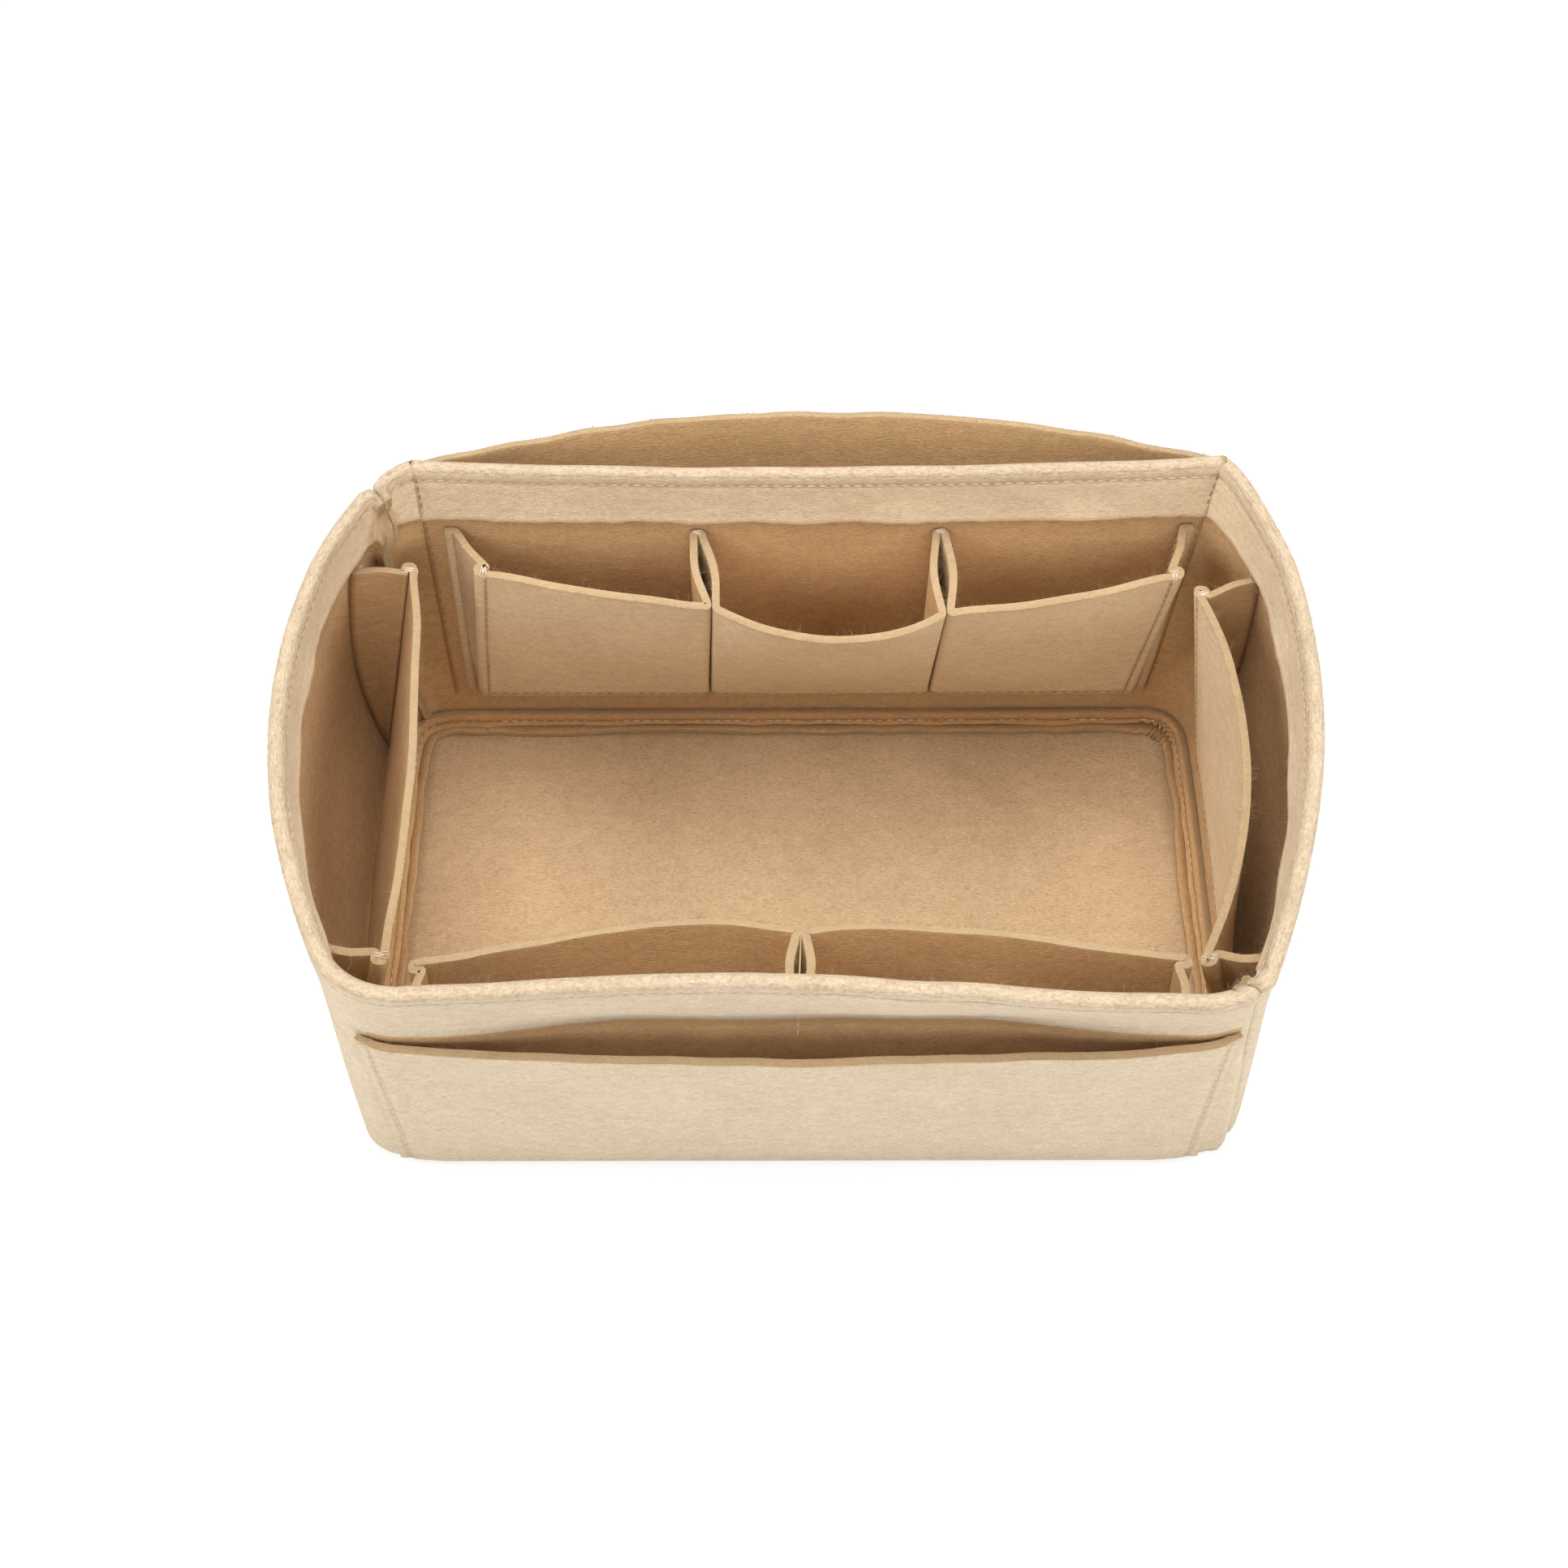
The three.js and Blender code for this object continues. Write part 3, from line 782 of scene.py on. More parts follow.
def felt_material(name, felt, grain=(1, 1, 1), depth=0.0006):
    """Felt on the sheet's own map, darker along its stitch lines as pressed felt with painted
    shade, with painted shade where the pressed attribute marks creases, joins and corners, and like
    a cut edge where it is raw. The dark fibres are warmer than the pale ones."""
    if name in bpy.data.materials:
        return bpy.data.materials[name]
    settings = felt_settings()
    shadow = 1 - settings.contrast
    material, tree, shader = new_material(name)
    link = tree.links.new
    where = add_node(tree, "ShaderNodeUVMap", uv_map="felt")
    mapping = add_node(tree, "ShaderNodeMapping", Scale=grain)
    fibres = add_node(tree, "ShaderNodeGroup", node_tree=grain_group())
    colour = add_node(tree, "ShaderNodeMix", data_type="RGBA")
    dark = [tone * shadow ** power for tone, power in zip(felt, SHADOW_POWERS)]
    colour.inputs["A"].default_value = (*dark, 1)
    colour.inputs["B"].default_value = (*felt, 1)
    # The pressed attribute darkens the felt: stitch lines as pressed felt with painted shade in
    # their groove, and painted shade in creases, joins and corners, on the gussets and over the
    # rolled rim.
    seam = add_node(tree, "ShaderNodeAttribute", attribute_name="pressed")
    shade = add_node(tree, "ShaderNodeMix", data_type="RGBA", blend_type="MULTIPLY")
    shade.inputs["B"].default_value = PRESSED_AND_SHADED_TONE
    raw = add_node(tree, "ShaderNodeAttribute", attribute_name="raw")
    frayed = add_node(tree, "ShaderNodeMix", data_type="RGBA")
    frayed.inputs["B"].default_value = (*settings.cut, 1)
    rough = add_node(tree, "ShaderNodeMapRange", To_Min=1.0, To_Max=0.88)
    bump = add_node(tree, "ShaderNodeBump", Strength=0.8, Distance=depth)
    link(where.outputs["UV"], mapping.inputs["Vector"])
    link(mapping.outputs["Vector"], fibres.inputs["Vector"])
    link(fibres.outputs["Tone"], colour.inputs["Factor"])
    link(colour.outputs["Result"], shade.inputs["A"])
    link(seam.outputs["Fac"], shade.inputs["Factor"])
    link(shade.outputs["Result"], frayed.inputs["A"])
    link(raw.outputs["Fac"], frayed.inputs["Factor"])
    link(frayed.outputs["Result"], shader.inputs["Base Color"])
    link(fibres.outputs["Tone"], rough.inputs["Value"])
    link(rough.outputs["Result"], shader.inputs["Roughness"])
    link(fibres.outputs["Height"], bump.inputs["Height"])
    link(bump.outputs["Normal"], shader.inputs["Normal"])
    soften(shader)
    return material


def plain_fibre_material(name, colour, shadow, scale, depth):
    """Cut felt or thread, speckled on object coordinates."""
    if name in bpy.data.materials:
        return bpy.data.materials[name]
    material, tree, shader = new_material(name)
    link = tree.links.new
    where = add_node(tree, "ShaderNodeTexCoord")
    mapping = add_node(tree, "ShaderNodeMapping", Scale=(scale, scale, scale))
    fibres = add_node(tree, "ShaderNodeGroup", node_tree=grain_group())
    mix = add_node(tree, "ShaderNodeMix", data_type="RGBA")
    mix.inputs["A"].default_value = (*(c * shadow for c in colour), 1)
    mix.inputs["B"].default_value = (*colour, 1)
    bump = add_node(tree, "ShaderNodeBump", Strength=0.6, Distance=depth)
    link(where.outputs["Object"], mapping.inputs["Vector"])
    link(mapping.outputs["Vector"], fibres.inputs["Vector"])
    link(fibres.outputs["Tone"], mix.inputs["Factor"])
    link(mix.outputs["Result"], shader.inputs["Base Color"])
    link(fibres.outputs["Height"], bump.inputs["Height"])
    link(bump.outputs["Normal"], shader.inputs["Normal"])
    shader.inputs["Roughness"].default_value = 0.95
    soften(shader)
    return material


def cut_edge():
    return plain_fibre_material("felt cut edge", felt_settings().cut, 0.72, 1.6, 0.0004)


# Darker, warmer felt for inward faces, as painted shade.
def shaded_inside_felt():
    return felt_material("felt inside painted shade", felt_settings().inside)


# Paler felt for the fronts of the inner pockets, as painted light.
def lit_front_felt():
    return felt_material("felt front painted light", felt_settings().front)


def wall_felt():
    """Finishes of a wall: its outward face, its cut edges and its inward face, whose darker, warmer
    inside felt is painted shade. They come again with the outward face of the hem, whose paler felt
    is painted light, and with that of the wall inside the front slip pocket, which takes the inside
    felt as painted shade."""
    outside = felt_material("felt outside", felt_settings().outside)
    hem = felt_material("felt hem painted light", felt_settings().hem)
    inside = shaded_inside_felt()
    return [outside, cut_edge(), inside, hem, cut_edge(), inside, inside, cut_edge(), inside]


# The bands of the floor's seam take the darker inside felt as painted shade.
def band_felt():
    return [shaded_inside_felt(), cut_edge()]


def strip_felt(side):
    """Finishes of a strip: paler felt, painted light, on the faces that are turned to the middle of
    the box, and the darker inside felt, painted shade, on the other faces.
    """
    faces = [lit_front_felt(), cut_edge(), shaded_inside_felt()]
    return faces if side in ("back", "left") else faces[::-1]


# The floor sheet's darker, warmer felt is painted shade.
def shaded_floor_felt():
    return [felt_material("felt floor painted shade", felt_settings().floor, (1.1, 0.8, 1), 0.0008), cut_edge()]


def thread_material():
    return plain_fibre_material("wall thread", felt_settings().thread, 0.75, 3, 0.0001)


def strip_thread_material():
    return plain_fibre_material("strip thread", felt_settings().strip_thread, 0.75, 3, 0.0001)


def tack_material():
    return plain_fibre_material("tack thread", felt_settings().tack, 0.8, 3, 0.0001)


def loose_fibre_material():
    return plain_fibre_material("loose fibres", felt_settings().cut, 0.85, 1, 0.0001)


# Shapes of the sheets

def wall_finish(points):
    """First material of each face of a wall sheet: paler hem felt on the hem as painted light, and
    darker inside felt on the wall inside the front slip pocket as painted shade.
    """
    finish = np.zeros(points.shape[:2], int)
    # The hem takes the paler hem felt as painted light.
    finish[HEM_ROW:] = LIT_HEM_FINISH
    x, y, z = np.moveaxis(points[:HEM_ROW], 2, 0)
    # The wall inside the front slip pocket takes the darker inside felt as painted shade.
    pocket_shade = (y < -60) & (z < FRONT_SLIP_TOP + 3) & (np.abs(x) < FRONT_SLIP_SIDE - 3)
    finish[:HEM_ROW][pocket_shade] = POCKET_SHADE_FINISH
    return finish


def wall_profile():
    """Inset and height of the felt's middle: a tucked foot, the wall, the rolled rim, the hem."""
    turn = np.radians((0, 30, 60, 90))
    tuck = 2.15
    insets = list(HALF + tuck - tuck * np.sin(turn))
    heights = list(HALF + tuck - tuck * np.cos(turn))
    roll_foot, roll, middle = 130.3, 1.32, 2.56
    near_stitch = (124.8, 125.8, 126.6, 127.2, 127.8, 128.6, 129.5)
    rise = np.concatenate((np.linspace(heights[-1], 122, 34)[1:], (123.6,), near_stitch))
    insets += [HALF] * len(rise)
    heights += list(rise)
    around = np.radians(np.linspace(0, 180, 11))
    insets += list(middle - roll * np.cos(around))
    heights += list(roll_foot + roll * np.sin(around))
    fall = np.concatenate((
        near_stitch[::-1], np.linspace(123, HEM_EDGE + 4, 7),
        HEM_EDGE + np.array((2.6, 1.7, 0.8, 0)),
    ))
    insets += [middle + roll] * len(fall)
    heights += list(fall)
    insets, heights = np.array(insets), np.array(heights)
    pinch = bell(heights - RIM_STITCH, 1.0)
    insets += np.where(insets < middle, 0.3, -0.3) * pinch
    return insets, heights, pinch


def rim_rise(stations, height, on_hem=False):
    """How far the wall's upper edge is pulled back and up along the back, and how far it sags at
    the front corners."""
    past = np.mod(np.asarray(stations, float) - 1.5, OUTLINE_SEGMENTS) + 1.5
    total = 0
    for first, full, last, end, shift, hem_share in RIM_SHIFTS:
        share = ease(first, full, past) * ease(end, last, past)
        share = share * max(ease(98, CREST, height), hem_share if on_hem else 0)
        total = total + share[..., None] * np.array(shift)
    return total


def allowance_end(height, reach_at_hem):
    """Inset of the raw edge of a seam's allowance."""
    end = lerp(4.4, ALLOWANCE_END, ease(15, 60, height))
    end = lerp(end, reach_at_hem, ease(104, 112, height))
    return lerp(end, min(reach_at_hem, 5.6), ease(114, CREST, height))


def seam_columns(inset, height, reach_at_hem):
    """Distance from the seam, inset and turned share of the columns of a turned-in allowance,
    from its raw edge to the plain wall. Its layers are pressed together."""
    end = allowance_end(height, reach_at_hem)
    turn = 1.5
    flat = FLAP_PRESS * HALF + max(inset - HALF, 0) * FLAP_PRESS
    reach = np.linspace(end, inset + turn, 6)[:-1]
    around = np.radians(np.linspace(90, 0, 5))
    away = np.concatenate((
        np.full(5, flat), flat + turn * (1 - np.sin(around)), flat + turn + np.array((1, 2, 3)),
    ))
    depth = np.concatenate((reach, inset + turn * (1 - np.cos(around)), np.full(3, inset)))
    return away, depth, np.clip((depth - inset) / (end - inset), 0, 1)


def wall_surface(first, last, seed):
    """Grid of the middle of a wall sheet between two seams, with its pressed lines and painted
    shade, frayed edges and thickness."""
    insets, heights, pinch = wall_profile()
    room = 0.27
    stations = even_stations(first + room, last - room, WALL_SPACING)
    beside = np.array((-0.006, -0.003, 0, 0.003, 0.006))
    creases = [c for c in (RIGHT_CREASE, LEFT_CREASE) if first < c < last]
    for crease in creases:
        stations = np.unique(np.concatenate((stations, crease + beside)))
    plain = len(stations)
    travel = np.arange(plain) * WALL_SPACING
    reaches = [SEAM_REACH[round(seam % OUTLINE_SEGMENTS, 3)] for seam in (first, last)]
    rows = []
    for row, (inset, height, pressed) in enumerate(zip(insets, heights, pinch)):
        away, start_depth, start_turned = seam_columns(inset, height, reaches[0])
        _, end_depth, end_turned = seam_columns(inset, height, reaches[1])
        ends = len(away)
        where = np.concatenate((np.full(ends, first), stations, np.full(ends, last)))
        shift = np.concatenate((away, np.zeros(plain), -away[::-1]))
        near = np.concatenate((away, np.full(plain, 99.0), away[::-1]))
        turned = np.concatenate((start_turned, np.zeros(plain), end_turned[::-1]))
        deep = np.concatenate((start_depth, np.full(plain, inset), end_depth[::-1]))
        run = np.concatenate(
            (np.linspace(-12, 0, ends), travel, travel[-1] + np.linspace(0, 12, ends)))
        level = np.full_like(run, height)
        on_hem = row >= len(insets) - HEM_ROWS
        loose = ease(HEM_EDGE + 12, HEM_EDGE, height) if on_hem else 0.0
        fray = ease(HEM_EDGE + 2.4, HEM_EDGE, height) if on_hem else 0.0
        calm = ease(0, 12, height)
        deep = deep + 0.16 * calm * uneven(seed, 55, run, level)
        deep = deep + loose * 0.3 * (0.9 + uneven(seed + 1, 38, run)) + 0.45 * fray
        deep = deep + turned ** 2 * 0.6 * uneven(seed + 4, 13, level)
        points = wall_points(where, height, deep, shift) + rim_rise(where, height, on_hem)
        rim = ease(112, CREST, height)
        points[:, 2] -= rim * 1.7 * bell(near, 5)
        points[:, 2] -= ease(118, CREST, height) * 3.6 * turned ** 1.3
        points[:, 2] += rim * 0.25 * uneven(seed + 2, 45, run)
        points[:, 2] += loose * 0.4 * uneven(seed + 3, 30, run)
        points[:, 2] += fray * 0.25 * uneven(seed + 5, 9, run)
        # Darker along the rim stitch as pressed felt with painted shade, and painted shade over the
        # top of the rolled rim and down the back creases.
        mark = np.full(len(where), 0.5 * pressed + 0.34 * ease(129, 131.5, height))
        for crease in creases:
            mark = np.maximum(mark, 0.9 * bell(where - crease, 0.0045) * (height > 20))
        raw = np.maximum(0.75 * fray, 0.7 * ease(0.75, 1, turned))
        rows.append((points, mark, raw, lerp(1, FLAP_PRESS, ease(0, 0.4, turned))))
    return stacked(rows)


def slip_rise(count):
    return np.concatenate((np.linspace(0, 0.9, count - 6)[:-1], np.linspace(0.9, 1, 7)))


def front_slip_row(x, rise):
    """Points of the middle of the front slip pocket at one height, and the felt's thickness."""
    shares = (x + FRONT_SLIP_SIDE) / (2 * FRONT_SLIP_SIDE)
    margin = np.minimum(x + FRONT_SLIP_SIDE, FRONT_SLIP_SIDE - x)
    height = lerp(FRONT_SLIP_FOOT - 0.9, FRONT_SLIP_TOP, rise)
    tucked = ease(14, 1, height)
    corner = ease(16, 0, margin) * ease(12, 1, height)
    thick = lerp(0.72, 1, ease(1, 6, margin)) * lerp(1, 0.55, tucked)
    seed = SEEDS["front_slip"]
    sway = uneven(seed, 60, x, np.full_like(x, height))
    stand = CLEARANCE + HALF + FRONT_SLIP_GAP * arch(shares) * rise
    stand = stand + 0.35 * ease(4, 30, margin) * rise * sway
    stand = stand - 0.35 * bell(margin - FRONT_SIDE_STITCH, 0.9) - 0.85 * tucked
    points = wall_along("front", x, height, 0, sunk=0)
    points[:, 1] -= stand
    points[:, 2] += ease(0.9, 1, rise) * 0.35 * uneven(seed + 1, 26, x) + 2.2 * corner
    return points, thick, margin


def front_slip_surface():
    """Grid of the front slip pocket, its pressed stitch lines with painted shade, frayed edges and
    thickness.
    """
    shares = np.unique(np.concatenate((gathered(90), np.linspace(0, 1, 71))))
    x = lerp(-FRONT_SLIP_SIDE, FRONT_SLIP_SIDE, shares)
    rows = []
    for rise in slip_rise(34):
        points, thick, margin = front_slip_row(x, rise)
        # Darker along the side stitch lines, as pressed felt with painted shade.
        mark = 0.55 * bell(margin - FRONT_SIDE_STITCH, 0.8)
        raw = np.maximum(0.5 * ease(0.985, 1, rise), 0.35 * ease(1.2, 0, margin))
        rows.append((points, mark, raw, thick))
    return stacked(rows)


def rear_slip_row(stations, rise):
    """Points of the middle of the rear slip pocket at one height, and the felt's thickness."""
    first, last = RIGHT_CREASE - REAR_SLIP_REACH, LEFT_CREASE + REAR_SLIP_REACH
    shares = (stations - first) / (last - first)
    margin = np.minimum(shares, 1 - shares) * REAR_SLIP_WIDTH
    height = lerp(REAR_SLIP_FOOT, HEIGHT, rise)
    seed = SEEDS["rear_slip"]
    run = stations * STATION_LENGTH
    sway = uneven(seed, 70, run, np.full_like(shares, height))
    stand = CLEARANCE + HALF + REAR_SLIP_GAP * arch(shares) * rise
    stand = stand + 0.5 * ease(4, 40, margin) * rise * sway
    points = wall_points(stations, height, 0)
    points[:, 1] += stand
    points[:, 2] += ease(0.9, 1, rise) * 0.35 * uneven(seed + 1, 30, run)
    points[:, 2] += rise ** 4 * (6.5 * arch(shares) - 5)
    return points, lerp(0.75, 1, ease(1, 7, margin)), margin


def rear_slip_surface():
    """Grid of the rear slip pocket, its pressed stitch lines with painted shade, frayed edges and
    thickness.
    """
    stations = even_stations(RIGHT_CREASE - REAR_SLIP_REACH, LEFT_CREASE + REAR_SLIP_REACH, 2.4)
    rows = []
    for rise in slip_rise(40):
        points, thick, margin = rear_slip_row(stations, rise)
        foot = bell(lerp(REAR_SLIP_FOOT, HEIGHT, rise) - REAR_FOOT_STITCH, 0.9)
        # Darker along the side and foot stitch lines, as pressed felt with painted shade.
        mark = 0.5 * np.maximum(bell(margin - REAR_SIDE_STITCH, 1.2), foot)
        raw = np.maximum(0.5 * ease(0.985, 1, rise), 0.35 * ease(1.2, 0, margin))
        rows.append((points, mark, raw, thick))
    return stacked(rows)


def floor_surface():
    """Grid of the middle of the floor, inside the foot of the walls."""
    inset = 3.6
    half_length, half_depth = BASE_LENGTH / 2 - inset, BASE_DEPTH / 2 - inset
    corner = BASE_CORNER - 4
    even = np.linspace(-half_depth, half_depth, 90)
    across = np.unique(np.concatenate((half_depth * (2 * gathered(80) - 1), even)))
    shares = np.linspace(-1, 1, 151)
    seed = SEEDS["floor"]
    rows = []
    for y in across:
        past = max(abs(y) - (half_depth - corner), 0)
        x = shares * (half_length - corner + math.sqrt(max(corner ** 2 - past ** 2, 0)))
        edge = np.minimum(half_length - np.abs(x), half_depth - abs(y))
        level = np.full_like(x, y)
        dents = 0.35 * uneven(seed, 42, x, level) + 0.22 * uneven(seed + 1, 17, x * 0.6, level)
        creases = 0.3 * (1 - np.abs(uneven(seed + 2, 30, x * 0.7, level)))
        height = HALF + np.maximum(0.35 + ease(6, 26, edge) * (dents + creases), 0.05)
        # Painted shade: the floor is darker along the foot of the walls.
        mark = 0.5 * bell(np.maximum(edge - 4.5, 0), 2.2)
        rows.append((np.column_stack((x, level, height)), mark))
    return stacked(rows)


def band_surface(profile, seed):
    """Grid of a ring of felt round the floor. The profile gives inset and height pairs, from the
    wall to the floor."""
    stations = even_stations(0, OUTLINE_SEGMENTS, 1.8, 0.0)
    stations[-1] = stations[0] + OUTLINE_SEGMENTS
    travel = np.linspace(0, 2 * np.pi, len(stations))
    corner = bell(np.mod(stations - 2.4, OUTLINE_SEGMENTS) - 4.1, 0.42)
    turns = 46
    pucker = corner * np.sin(stations * turns)
    rows = []

    def wave(number, size):
        return uneven(number, size, 150 * np.cos(travel), 150 * np.sin(travel))

    for inset, height, loose, dark in profile:
        deep = inset + loose * (0.5 * wave(seed, 60) + 0.35 * wave(seed + 1, 18) + 1.7 * pucker)
        points = wall_points(stations, max(height, 0), deep)
        lift = 0.35 * wave(seed + 2, 45) + 1.2 * corner * np.cos(stations * turns + 1)
        points[:, 2] += loose * lift
        # How dark each row is painted: the stitch line and painted shade.
        rows.append((points, np.full(len(stations), dark)))
    return stacked(rows)


# Inset and height of the rows of each layer of the floor's seam, how loose it lies and how dark it
# is painted: the stitch line, and painted shade along the wall and under the upper layer
UPPER_BAND = (
    (3.9, 9.8, 0.1, 0.6), (4.1, 9.0, 0.15, 0.1), (4.5, 8.0, 0.25, 0), (4.7, 7.1, 0.3, 0.3),
    (4.6, 6.4, 0.3, 0.85), (4.95, 5.7, 0.4, 0.3), (5.5, 5.0, 0.6, 0), (6.0, 4.4, 0.8, 0),
)
LOWER_BAND = (
    (4.3, 3.9, 0.1, 0.9), (5.2, 3.7, 0.2, 0.9), (6.2, 3.6, 0.4, 0.9), (7.4, 3.6, 0.6, 0.5),
    (8.6, 3.6, 0.8, 0.1), (9.8, 3.7, 1.0, 0),
)


class PocketStrip:
    """The path of one pocket strip at any height, from flange to flange."""

    corner_columns = 5
    gusset_columns = 26

    def __init__(self, side):
        self.side = side
        spec = STRIPS[side]
        _, _, self.axis, self.open = WALLS[side]
        start, end = spec["margins"]
        places = np.linspace(start - spec["half"], spec["half"] - end, len(spec["ridges"]))
        self.ridges = [
            {"wall": place, "foot": place + foot, "root": place + foot, "front": place + front,
             "depth": depth}
            for place, (foot, front, depth) in zip(places, spec["ridges"])
        ]
        for ridge, outward in ((self.ridges[0], -1), (self.ridges[-1], 1)):
            ridge["root"] = ridge["foot"] + outward * spec.get("root", 0)
        self.fronts = [
            self.front_panel(before, after, *shape)
            for before, after, shape in zip(self.ridges, self.ridges[1:], spec["fronts"])
        ]
        self.last = len(self.ridges) - 1

    def shifted(self, amount):
        step = np.zeros(3)
        step[self.axis] = amount
        return step

    def front_panel(self, before, after, bow, skew, scoop):
        """The wall side of one front for shares across it and a share of its height."""
        inset = FELT + CLEARANCE

        def mouth_at(ridge):
            point = wall_along(self.side, np.array([ridge["wall"]]), POCKET_TOP, inset)[0]
            point[self.axis] = ridge["front"]
            return point + self.open * ridge["depth"]

        start, end = mouth_at(before), mouth_at(after)

        def place(shares, rise):
            shares = np.atleast_1d(np.asarray(shares, float))
            curve = arch(shares)
            along = lerp(before["foot"], after["foot"], shares)
            foot = wall_along(self.side, along, POCKET_FOOT, inset)
            mouth = lerp(start, end, shares[:, None])
            stand = bow * curve * (1 + skew * (2 * shares - 1))
            dip = scoop * np.maximum(curve, 0)
            mouth = mouth + self.open * stand[:, None] - UP * dip[:, None]
            return lerp(foot, mouth, rise)

        return {"place": place, "width": after["front"] - before["front"]}

    def on_front(self, ridge, shift, rise, depth, later):
        """A point at a shift from a ridge on the front before or after it, off its wall side."""
        panel = self.fronts[ridge if later else ridge - 1]
        share = (0 if later else 1) + shift / panel["width"]
        return panel["place"](share, rise)[0] + self.open * depth

    def on_wall(self, ridge, shift, rise, depth):
        height = lerp(POCKET_FOOT, POCKET_TOP, rise)
        along = lerp(self.ridges[ridge]["root"], self.ridges[ridge]["wall"], rise) + shift
        return wall_along(self.side, np.array([along]), height, FELT + 0.12 + depth)[0]

    def layer(self, ridge, rise):
        """Thickness that the felt is pressed to behind a front."""
        later = ridge < self.last
        across = self.on_wall(ridge, 0, rise, 0) - self.on_front(ridge, 0, rise, 0, later)
        room = abs(across @ self.open)
        return float(np.clip(0.45 * room, 0.3, FELT)), room

    def gusset_ends(self, ridge, rise):
        """Where an end gusset leaves the wall and reaches the fold behind its front."""
        layer, _ = self.layer(ridge, rise)
        root = self.on_wall(ridge, 0, rise, layer / 2)
        head = self.on_front(ridge, 0, rise, -FOLD_GAP - layer / 2, ridge == 0)
        return root, head, layer

    def end_runs(self, ridge, rise):
        """Runs of an end gusset, from the flange's raw edge to the front."""
        outward = -1 if ridge == 0 else 1
        root, head, layer = self.gusset_ends(ridge, rise)
        later = ridge == 0
        reach = outward * (FOLD - HALF + 0.2)
        edge = self.on_wall(ridge, outward * FLANGE, rise, layer / 2)
        inner = self.on_front(ridge, reach, rise, -FOLD_GAP - layer / 2, later)
        outer = self.on_front(ridge, reach, rise, HALF, later)
        share = layer / FELT
        sway = self.shifted(outward * 0.8 * min(rise * 1.6, 1))

        def gusset(p):
            return lerp(root, head, p[:, None]) + sway * np.sin(np.pi * p)[:, None] ** 2

        def line(a, b):
            return lambda p: lerp(a, b, p[:, None])

        return [
            (line(edge, root), 5, 1.6, share, share),
            (gusset, 16, 0.7, share, share),
            (line(head, inner), 3, 1.25, share, share),
            (line(inner, outer), 2, 1.25, share, 1.0),
        ]

    def pleat_runs(self, ridge, rise):
        """Runs of a pleat: to the wall, round its sewn edge and back to the next front."""
        layer, room = self.layer(ridge, rise)
        gap = SLIT + layer / 2
        swell = (PLEAT_EYE / 2 - SLIT) * min(room / 14, 1)
        share = layer / FELT
        shoulder = SLIT / 2 + HALF
        before = self.on_front(ridge, -shoulder, rise, HALF, False)
        after = self.on_front(ridge, shoulder, rise, HALF, True)
        near = self.on_wall(ridge, -gap, rise, layer / 2)
        far = self.on_wall(ridge, gap, rise, layer / 2)

        def side(a, b, sign):
            push = self.shifted(sign * swell)
            return lambda p: lerp(a, b, p[:, None]) + push * np.sin(np.pi * p)[:, None] ** 1.5

        return [
            (side(before, near, -1), 18, 1.1, 1.0, share),
            (lambda p: lerp(near, far, p[:, None]), 2, gap * 0.9, share, share),
            (side(far, after, 1), 18, 1.1, share, 1.0),
        ]

    def front_run(self, index, rise):
        """The run of one front, on the felt's middle."""
        panel = self.fronts[index]
        width = panel["width"]
        reach = FOLD - HALF + 0.2
        shoulder = SLIT / 2 + HALF
        first = -reach if index == 0 else shoulder
        last = reach if index + 1 == self.last else -shoulder
        seed = SEEDS["fronts"] + 7 * index + len(self.side)
        sway_size = 0.4 if self.side in ("back", "front") else 0.25

        def front(p):
            shares = lerp(first / width, 1 + last / width, p)
            points = panel["place"](shares, rise) + self.open * HALF
            calm = ease(0, 0.1, p) * ease(1, 0.9, p) * ease(0, 0.3, rise)
            level = np.full_like(shares, (POCKET_TOP - POCKET_FOOT) * rise)
            sway = sway_size * uneven(seed, 48, shares * width, level)
            points = points + self.open * (calm * sway)[:, None]
            points[:, 2] += ease(0.85, 1, rise) * 0.22 * uneven(seed + 1, 30, shares * width)
            return points

        return (front, 60, 1.1, 1.0, 1.0)

    def row(self, rise):
        """Points of the path at one height and the share of the felt's thickness there."""
        runs = self.end_runs(0, rise)
        for index in range(self.last):
            runs.append(self.front_run(index, rise))
            if index + 1 < self.last:
                runs += self.pleat_runs(index + 1, rise)
        for run, count, turn, start, end in reversed(self.end_runs(self.last, rise)):
            runs.append((lambda p, run=run: run(1 - p), count, turn, end, start))
        first, last = np.array([0.0]), np.array([1.0])
        lengths = [np.linalg.norm(run(last) - run(first)) for run, *_ in runs]
        points, shares = [], []
        for index, (run, count, turn, start, end) in enumerate(runs):
            length = max(lengths[index], 1e-6)
            before = runs[index - 1][2] if index else 0
            after = turn if index + 1 < len(runs) else 0
            trims = [min(min(t, turn) / length, 0.45) if t else 0 for t in (before, after)]
            spread = gathered(count) if count > 20 else np.linspace(0, 1, count)
            p = lerp(trims[0], 1 - trims[1], spread)
            if index:
                corner = run(first)
                here = run(p[:1])
                q = np.linspace(0, 1, self.corner_columns + 2)[1:-1, None]
                bend = (1 - q) ** 2 * points[-1][-1:] + 2 * q * (1 - q) * corner + q ** 2 * here
                points.append(bend)
                shares.append(lerp(shares[-1][-1], start, q[:, 0]))
            points.append(run(p))
            shares.append(lerp(start, end, p))
        return np.concatenate(points), np.concatenate(shares)

